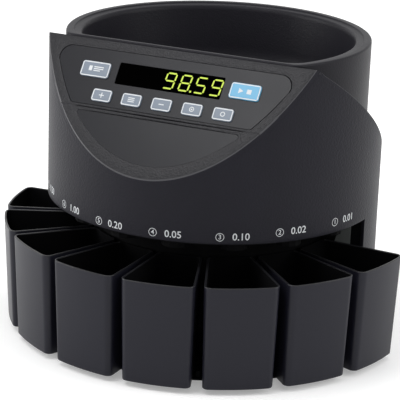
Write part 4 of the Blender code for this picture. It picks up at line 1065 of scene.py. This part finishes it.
def glyphs(text, size):
    """Points and faces of a flat text, centred on its middle."""
    curve = bpy.data.curves.new("glyphs", "FONT")
    curve.body = text
    curve.size = size
    curve.offset = size * glyph_weight
    curve.align_x = "CENTER"
    curve.align_y = "CENTER"
    curve.resolution_u = 3
    item = bpy.data.objects.new("glyphs", curve)
    bpy.context.scene.collection.objects.link(item)
    bpy.context.view_layer.update()
    mesh = bpy.data.meshes.new_from_object(item)
    flat = np.zeros(len(mesh.vertices) * 3)
    mesh.vertices.foreach_get("co", flat)
    faces = [list(polygon.vertices) for polygon in mesh.polygons]
    bpy.data.objects.remove(item)
    bpy.data.curves.remove(curve)
    bpy.data.meshes.remove(mesh)
    return flat.reshape(-1, 3)[:, :2], faces


def on_skirt(turn, height, x, y, lift=0.00004):
    """World points of a print on the wall: an x along the wall is an angle of x over the radius."""
    turns = turn + x / housing_radius
    plan = (housing_radius + lift) * heading(turns)
    return raised(plan, height + y) + spindle


def add_number(name, turn, height, index, value):
    """The ring with the cup's number, and the coin's value to its right."""
    points, faces, count = [], [], 0
    parts = []
    for text, size, x in ((index, index_size, index_x), (value, value_size, value_x)):
        flat, made = glyphs(text, size)
        parts.append((flat + [x, 0], made))
    ring = np.array(ring_parts(index_x, 0, ring_radius, ring_width, ring_count))
    parts.append((ring.reshape(-1, 2), np.arange(4 * ring_count).reshape(-1, 4).tolist()))
    for flat, made in parts:
        points.append(on_skirt(turn, height, flat[:, 0], flat[:, 1]))
        faces += [[count + corner for corner in face] for face in made]
        count += len(flat)
    add_piece(name, np.vstack(points), faces, print_finish, outward=tuple(spindle + [0, 0, height]))


labels = [("1", "0.01", 73.0, 0.1296), ("2", "0.02", 51.0, 0.1290), ("3", "0.10", 31.3, 0.1267),
          ("4", "0.05", 9.4, 0.1263), ("5", "0.20", -11.3, 0.1257), ("6", "1.00", -30.8, 0.1266),
          ("7", "0.50", -50.0, 0.1295), ("8", "2.00", -73.0, 0.1300)]
for index, value, turn, height in labels:
    add_number(f"value_label_{index}", radians(turn), height, index, value)
print("labels:", len(labels))

# %% [markdown]
# ## Coin cups
# Eight equal cups stand in a fan. A cup is a wedge between two circles round the spindle, with
# rounded corners, leaning sides, a heel that turns under, and a lip round its mouth. Its outline
# is a formula of the inset from its outer face; its rows go up outside, over the lip and down
# inside to the floor. The inside is matt and coloured nearly black as painted shade, and the lip is
# rubbed a little smoother.

# %% Cups
cup_reach, cup_back, cup_corner = 0.1865, 0.109, 0.0065
cup_half_angle = radians(9.9)
cup_foot, cup_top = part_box("coin_cup_1")[0].z, 0.096
cup_lean = 0.0025
cup_pitch = radians(22)
least_corner = 0.0006


def cup_outline(inset, height, counts=(44, 9, 20, 9, 16)):
    """Front arc, corner, side, corner, back arc and the same again on the other side. An inset
    moves the outline in, and its corners shrink with it down to the least. The front leans in more,
    in proportion to the depth below the lip."""
    corner = max(cup_corner - inset, least_corner)
    reach = cup_reach - cup_lean * (cup_top - height) / (cup_top - cup_foot) - inset
    outer = reach - corner
    inner = cup_back + inset + corner
    slack = inset + corner
    outer_turn = cup_half_angle - np.arcsin(slack / outer)
    inner_turn = cup_half_angle - np.arcsin(slack / inner)
    lean = cup_half_angle + pi / 2
    front = arc((0, 0), reach, 0, outer_turn, counts[0] // 2 + 1)
    first = arc(outer * heading(outer_turn), corner, outer_turn, lean, counts[1])
    second = arc(inner * heading(inner_turn), corner, lean, inner_turn + pi, counts[3])
    share = np.linspace(0, 1, counts[2])[1:-1, None]
    flank = first[-1] + share * (second[0] - first[-1])
    back = arc((0, 0), cup_back + inset, inner_turn, 0, counts[4] // 2 + 1)
    half = np.vstack([front, first[1:], flank, second, back[1:]])
    return np.vstack([half, half[1:-1][::-1] * [-1, 1]])


def cup_rows():
    """Inset and height of each row, from the middle of the underside to the middle of the floor."""
    wall, floor, heel, draft, middle = 0.0018, 0.0022, 0.0032, 0.0012, 0.020
    lip_round = wall * 0.42
    corners = [(middle, cup_foot), (draft + 0.0002, cup_foot), (draft, cup_foot + 0.001), (0, cup_top),
               (wall, cup_top), (draft + wall, cup_foot + floor), (middle, cup_foot + floor)]
    radii = [0, heel, 0.0004, lip_round, lip_round, heel, 0]
    return softened(corners, radii, 7)


def cup_table(turn):
    """All rows of a cup, turned to its heading."""
    rows = cup_rows()
    plan = np.stack([cup_outline(inset, height) for inset, height in rows])
    c, s = cos(turn), sin(turn)
    plan = plan @ np.array([[c, s], [-s, c]])
    return raised(plan, rows[:, 1:]) + spindle


def shade_cup_inside(cup, turn):
    """Painted shade inside a cup: the faces that look at the cup's middle line, the floor between
    them and the back wall get the matt, near-black finish. The lip gets a smoother finish of its own."""
    middle_reach, shade_gap, lip_depth, floor_depth, back_depth = 0.15, 0.0014, 0.0009, 0.005, 0.0035
    centre = read_polygons(cup.data, "center")
    normal = read_polygons(cup.data, "normal")
    middle = spindle[:2] + middle_reach * heading(turn)
    inward = ((centre[:, :2] - middle) * normal[:, :2]).sum(axis=1) < 0
    height = centre[:, 2] - cup_foot
    # Inner walls, floor and back wall take the near-black finish: painted shade.
    inside_shade = inward & (height > 0.001) & (centre[:, 2] < cup_top - shade_gap)
    inside_shade |= (normal[:, 2] > 0.5) & (height < floor_depth)
    inside_shade |= np.hypot(*(centre - spindle)[:, :2].T) < cup_back + back_depth
    lip = ~inside_shade & (centre[:, 2] > cup_top - lip_depth)
    cup.data.materials.append(cup_shade_finish)
    cup.data.materials.append(cup_lip_finish)
    cup.data.polygons.foreach_set("material_index", inside_shade + 2 * lip.astype(np.int32))


for index in range(8):
    turn = cup_pitch * (3.5 - index)
    points, faces = closed(cup_table(turn))
    name = f"coin_cup_{index + 1}"
    cup = add_piece(name + "_shell", points, faces, cup_finish, body=name, stands_for=[name])
    shade_cup_inside(cup, turn)
print("cup rows and columns:", cup_table(0).shape[:2])

# %% [markdown]
# ## Bay wall
# Behind the cups a plain curved wall closes the mechanism off. It is a strip carried along a
# three-quarter path: a wing, a half circle and another wing. A pale plate on each wing is painted
# light: it stands for the light that falls on the wall in the gap beside the last cup.

# %% Wall behind the cups
wall_front, wall_back = (0.107, -0.00465), (0.1045, -0.00215)
wall_reach, wall_top = 0.1447, 0.1207


def bay_wall_path(radius, y):
    """Plan points: straight wing from the left, half circle through the front, wing to the right."""
    reach = acos(-y / radius)
    tip = np.sqrt(wall_reach ** 2 - y * y)
    sweep = arc((0, 0), radius, -reach, reach, 140)
    return np.vstack([[(-tip, y)], sweep, [(tip, y)]])


front_path = bay_wall_path(*wall_front)
back_path = bay_wall_path(*wall_back)
loop = [(front_path, floor_level), (front_path, wall_top), (back_path, wall_top),
        (back_path, floor_level)]
table = np.stack([raised(path, z) for path, z in loop])
faces = cells(*table.shape[:2], tube=True).tolist()
for end in (0, table.shape[1] - 1):
    faces.append([end + row * table.shape[1] for row in range(4)])
add_piece("bay_wall_sweep", table.reshape(-1, 3) + spindle, faces, black_finish,
          stands_for=["cup_bay_wall"])
# Pale plates on the wings: a painted pool of light in the gap beside the last cup.
light_plate = np.array([(0.1205, 0.0940), (0.1351, 0.0940), (0.1351, 0.1190), (0.1275, 0.1190)])
light_plate_y, light_plate_thickness = -0.0047, 0.0008


def on_wing(a, b, lift):
    """World points on the front of the wall's wings."""
    return spindle + np.column_stack([a, np.full(len(a), light_plate_y - lift), b])


plates("painted_light_plates", [light_plate, light_plate[::-1] * [-1, 1]], on_wing, light_plate_thickness, light_plate_finish)
print("bay wall columns:", table.shape[1])

# %% [markdown]
# ## Feed cone and nut
# Under the hopper's throat turns a ribbed cone that stirs the coins towards the track. It is one
# surface: the radius goes down the cone, the angle goes round, and six ribs are smooth humps added
# to the height. A nut with a domed top holds it on the shaft.

# %% Feed cone and nut
def cone_table():
    """Rows out from the hub to the rim and under it: height falls with radius, plus rib humps."""
    turns = np.linspace(0, 2 * pi, 240, endpoint=False)
    top_z, rise, top_r, rim_r, bore_r, low_z = 0.150, 0.0159, 0.018, 0.106, 0.0062, 0.1316
    rib_in, rib_out, rib_fade, rib_height, rib_width = 0.024, 0.092, 0.006, 0.0016, 0.0019
    radius = np.concatenate([np.linspace(bore_r, top_r, 5), np.linspace(top_r, rim_r - 0.0006, 46)[1:]])
    height = top_z - rise * np.clip((radius - top_r) / (rim_r - top_r), 0, 1)
    nearest = np.abs((turns + pi / 6) % (pi / 3) - pi / 6)
    across = radius[:, None] * np.sin(nearest)
    along = np.clip((radius - rib_in) / rib_fade, 0, 1) * np.clip((rib_out - radius) / rib_fade, 0, 1)
    rib = rib_height * along[:, None] * np.exp(-(across / rib_width) ** 4)
    z = np.minimum(height[:, None] + rib, top_z)
    upper = raised(radius[:, None, None] * heading(turns), z)
    under = [(rim_r, 0.1336), (rim_r, low_z), (rim_r - 0.0025, low_z), (0.014, 0.1465), (0.014, low_z),
             (bore_r, low_z)]
    lower = np.stack([raised(r * heading(turns), h) for r, h in under])
    return np.concatenate([upper, lower])


table = cone_table()
faces = cells(*table.shape[:2], ring=True, tube=True)
add_piece("feed_cone_ribbed", table.reshape(-1, 3) + spindle, faces, cup_finish, body="rotor",
          stands_for=["feed_cone"])


def nut_table():
    """A six-sided nut: corners blend from the six flats to a domed round top."""
    turns = np.linspace(0, 2 * pi, 96, endpoint=False)
    flat_reach, corner_reach = 0.01125, 0.0129
    six = np.minimum(flat_reach / np.cos((turns + pi / 6) % (pi / 3) - pi / 6), corner_reach)
    levels = [(1.0, 0.93, 0.1504), (1.0, 1.0, 0.1510), (1.0, 1.0, 0.1552), (0.6, 0.97, 0.1559),
              (0.0, 0.0085, 0.1565), (0.0, 0.0075, 0.1577), (0.0, 0.0045, 0.1582)]
    rows = []
    for share, size, z in levels:
        radius = six * size if share else np.full(turns.size, size)
        rows.append(raised(radius[:, None] * heading(turns), z))
    return np.stack(rows)


points, faces = closed(nut_table())
add_piece("hub_nut_domed", points + spindle, faces, steel_finish, body="rotor", stands_for=["hub_nut"])
print("cone", table.shape[:2])

# %% [markdown]
# ## Screws and rocker at the back
# The service panel keeps its solid. Its four screws get a domed head with a cross recess, and the
# power switch's rocker gets its two marks, a bar for on and a ring for off.

# %% Screw heads
service_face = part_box("service_panel")[1].y


def screw_table(x, z):
    """A domed head with a cross: the recess is where both coordinates along the arms are small."""
    turns = np.linspace(0, 2 * pi, 64, endpoint=False)
    head_radius, dome_radius, dome_height = 0.0032, 0.0034, 0.0017
    arm_half, arm_reach, arm_fade, recess = 0.00045, 0.0021, 0.0003, 0.0010
    radius = np.array([0.12, 0.24, 0.36, 0.5, 0.62, 0.74, 0.86, 0.95, 1.0, 1.0]) * head_radius
    a = radius[:, None] * np.cos(turns)
    b = radius[:, None] * np.sin(turns)
    arm = np.maximum(np.exp(-(a / arm_half) ** 4), np.exp(-(b / arm_half) ** 4))
    reach = np.clip((arm_reach - radius) / arm_fade, 0, 1)[:, None]
    dome = dome_height * np.sqrt(np.clip(1 - (radius / dome_radius) ** 2, 0, 1))[:, None]
    lift = dome - recess * arm * reach
    lift[-1] = 0.0
    y = service_face + 0.0001 + lift
    return np.stack([x + a, y, z + b], axis=-1)


screws = [(x, z) for x in (0.0543, -0.0543) for z in (0.014, 0.113)]
for number, (x, z) in enumerate(screws, 1):
    name = f"service_screw_{number}"
    points, faces = closed(screw_table(x, z))
    add_piece(name + "_head", points, faces, steel_finish, stands_for=[name])


# %% Marks on the power rocker
rocker_pivot = [0.026, 0.1492, 0.042]


def on_rocker(a, b, lift):
    """World points on the rocker's face, which is tilted 8 degrees about its pivot."""
    tilt, face = radians(-8), 0.00255
    pivot = spindle + rocker_pivot
    y = np.full(len(a), face + lift)
    return pivot + np.column_stack([-a, y * cos(tilt) - b * sin(tilt), y * sin(tilt) + b * cos(tilt)])


rocker_marks = [bar(0, 0.0042, 0.0007, 0.0026)] + ring_parts(0, -0.0042, 0.0015, 0.0005)
plates("power_rocker_marks", rocker_marks, on_rocker, 0.00006, print_finish, body="power_rocker")
print("screws:", len(screws))
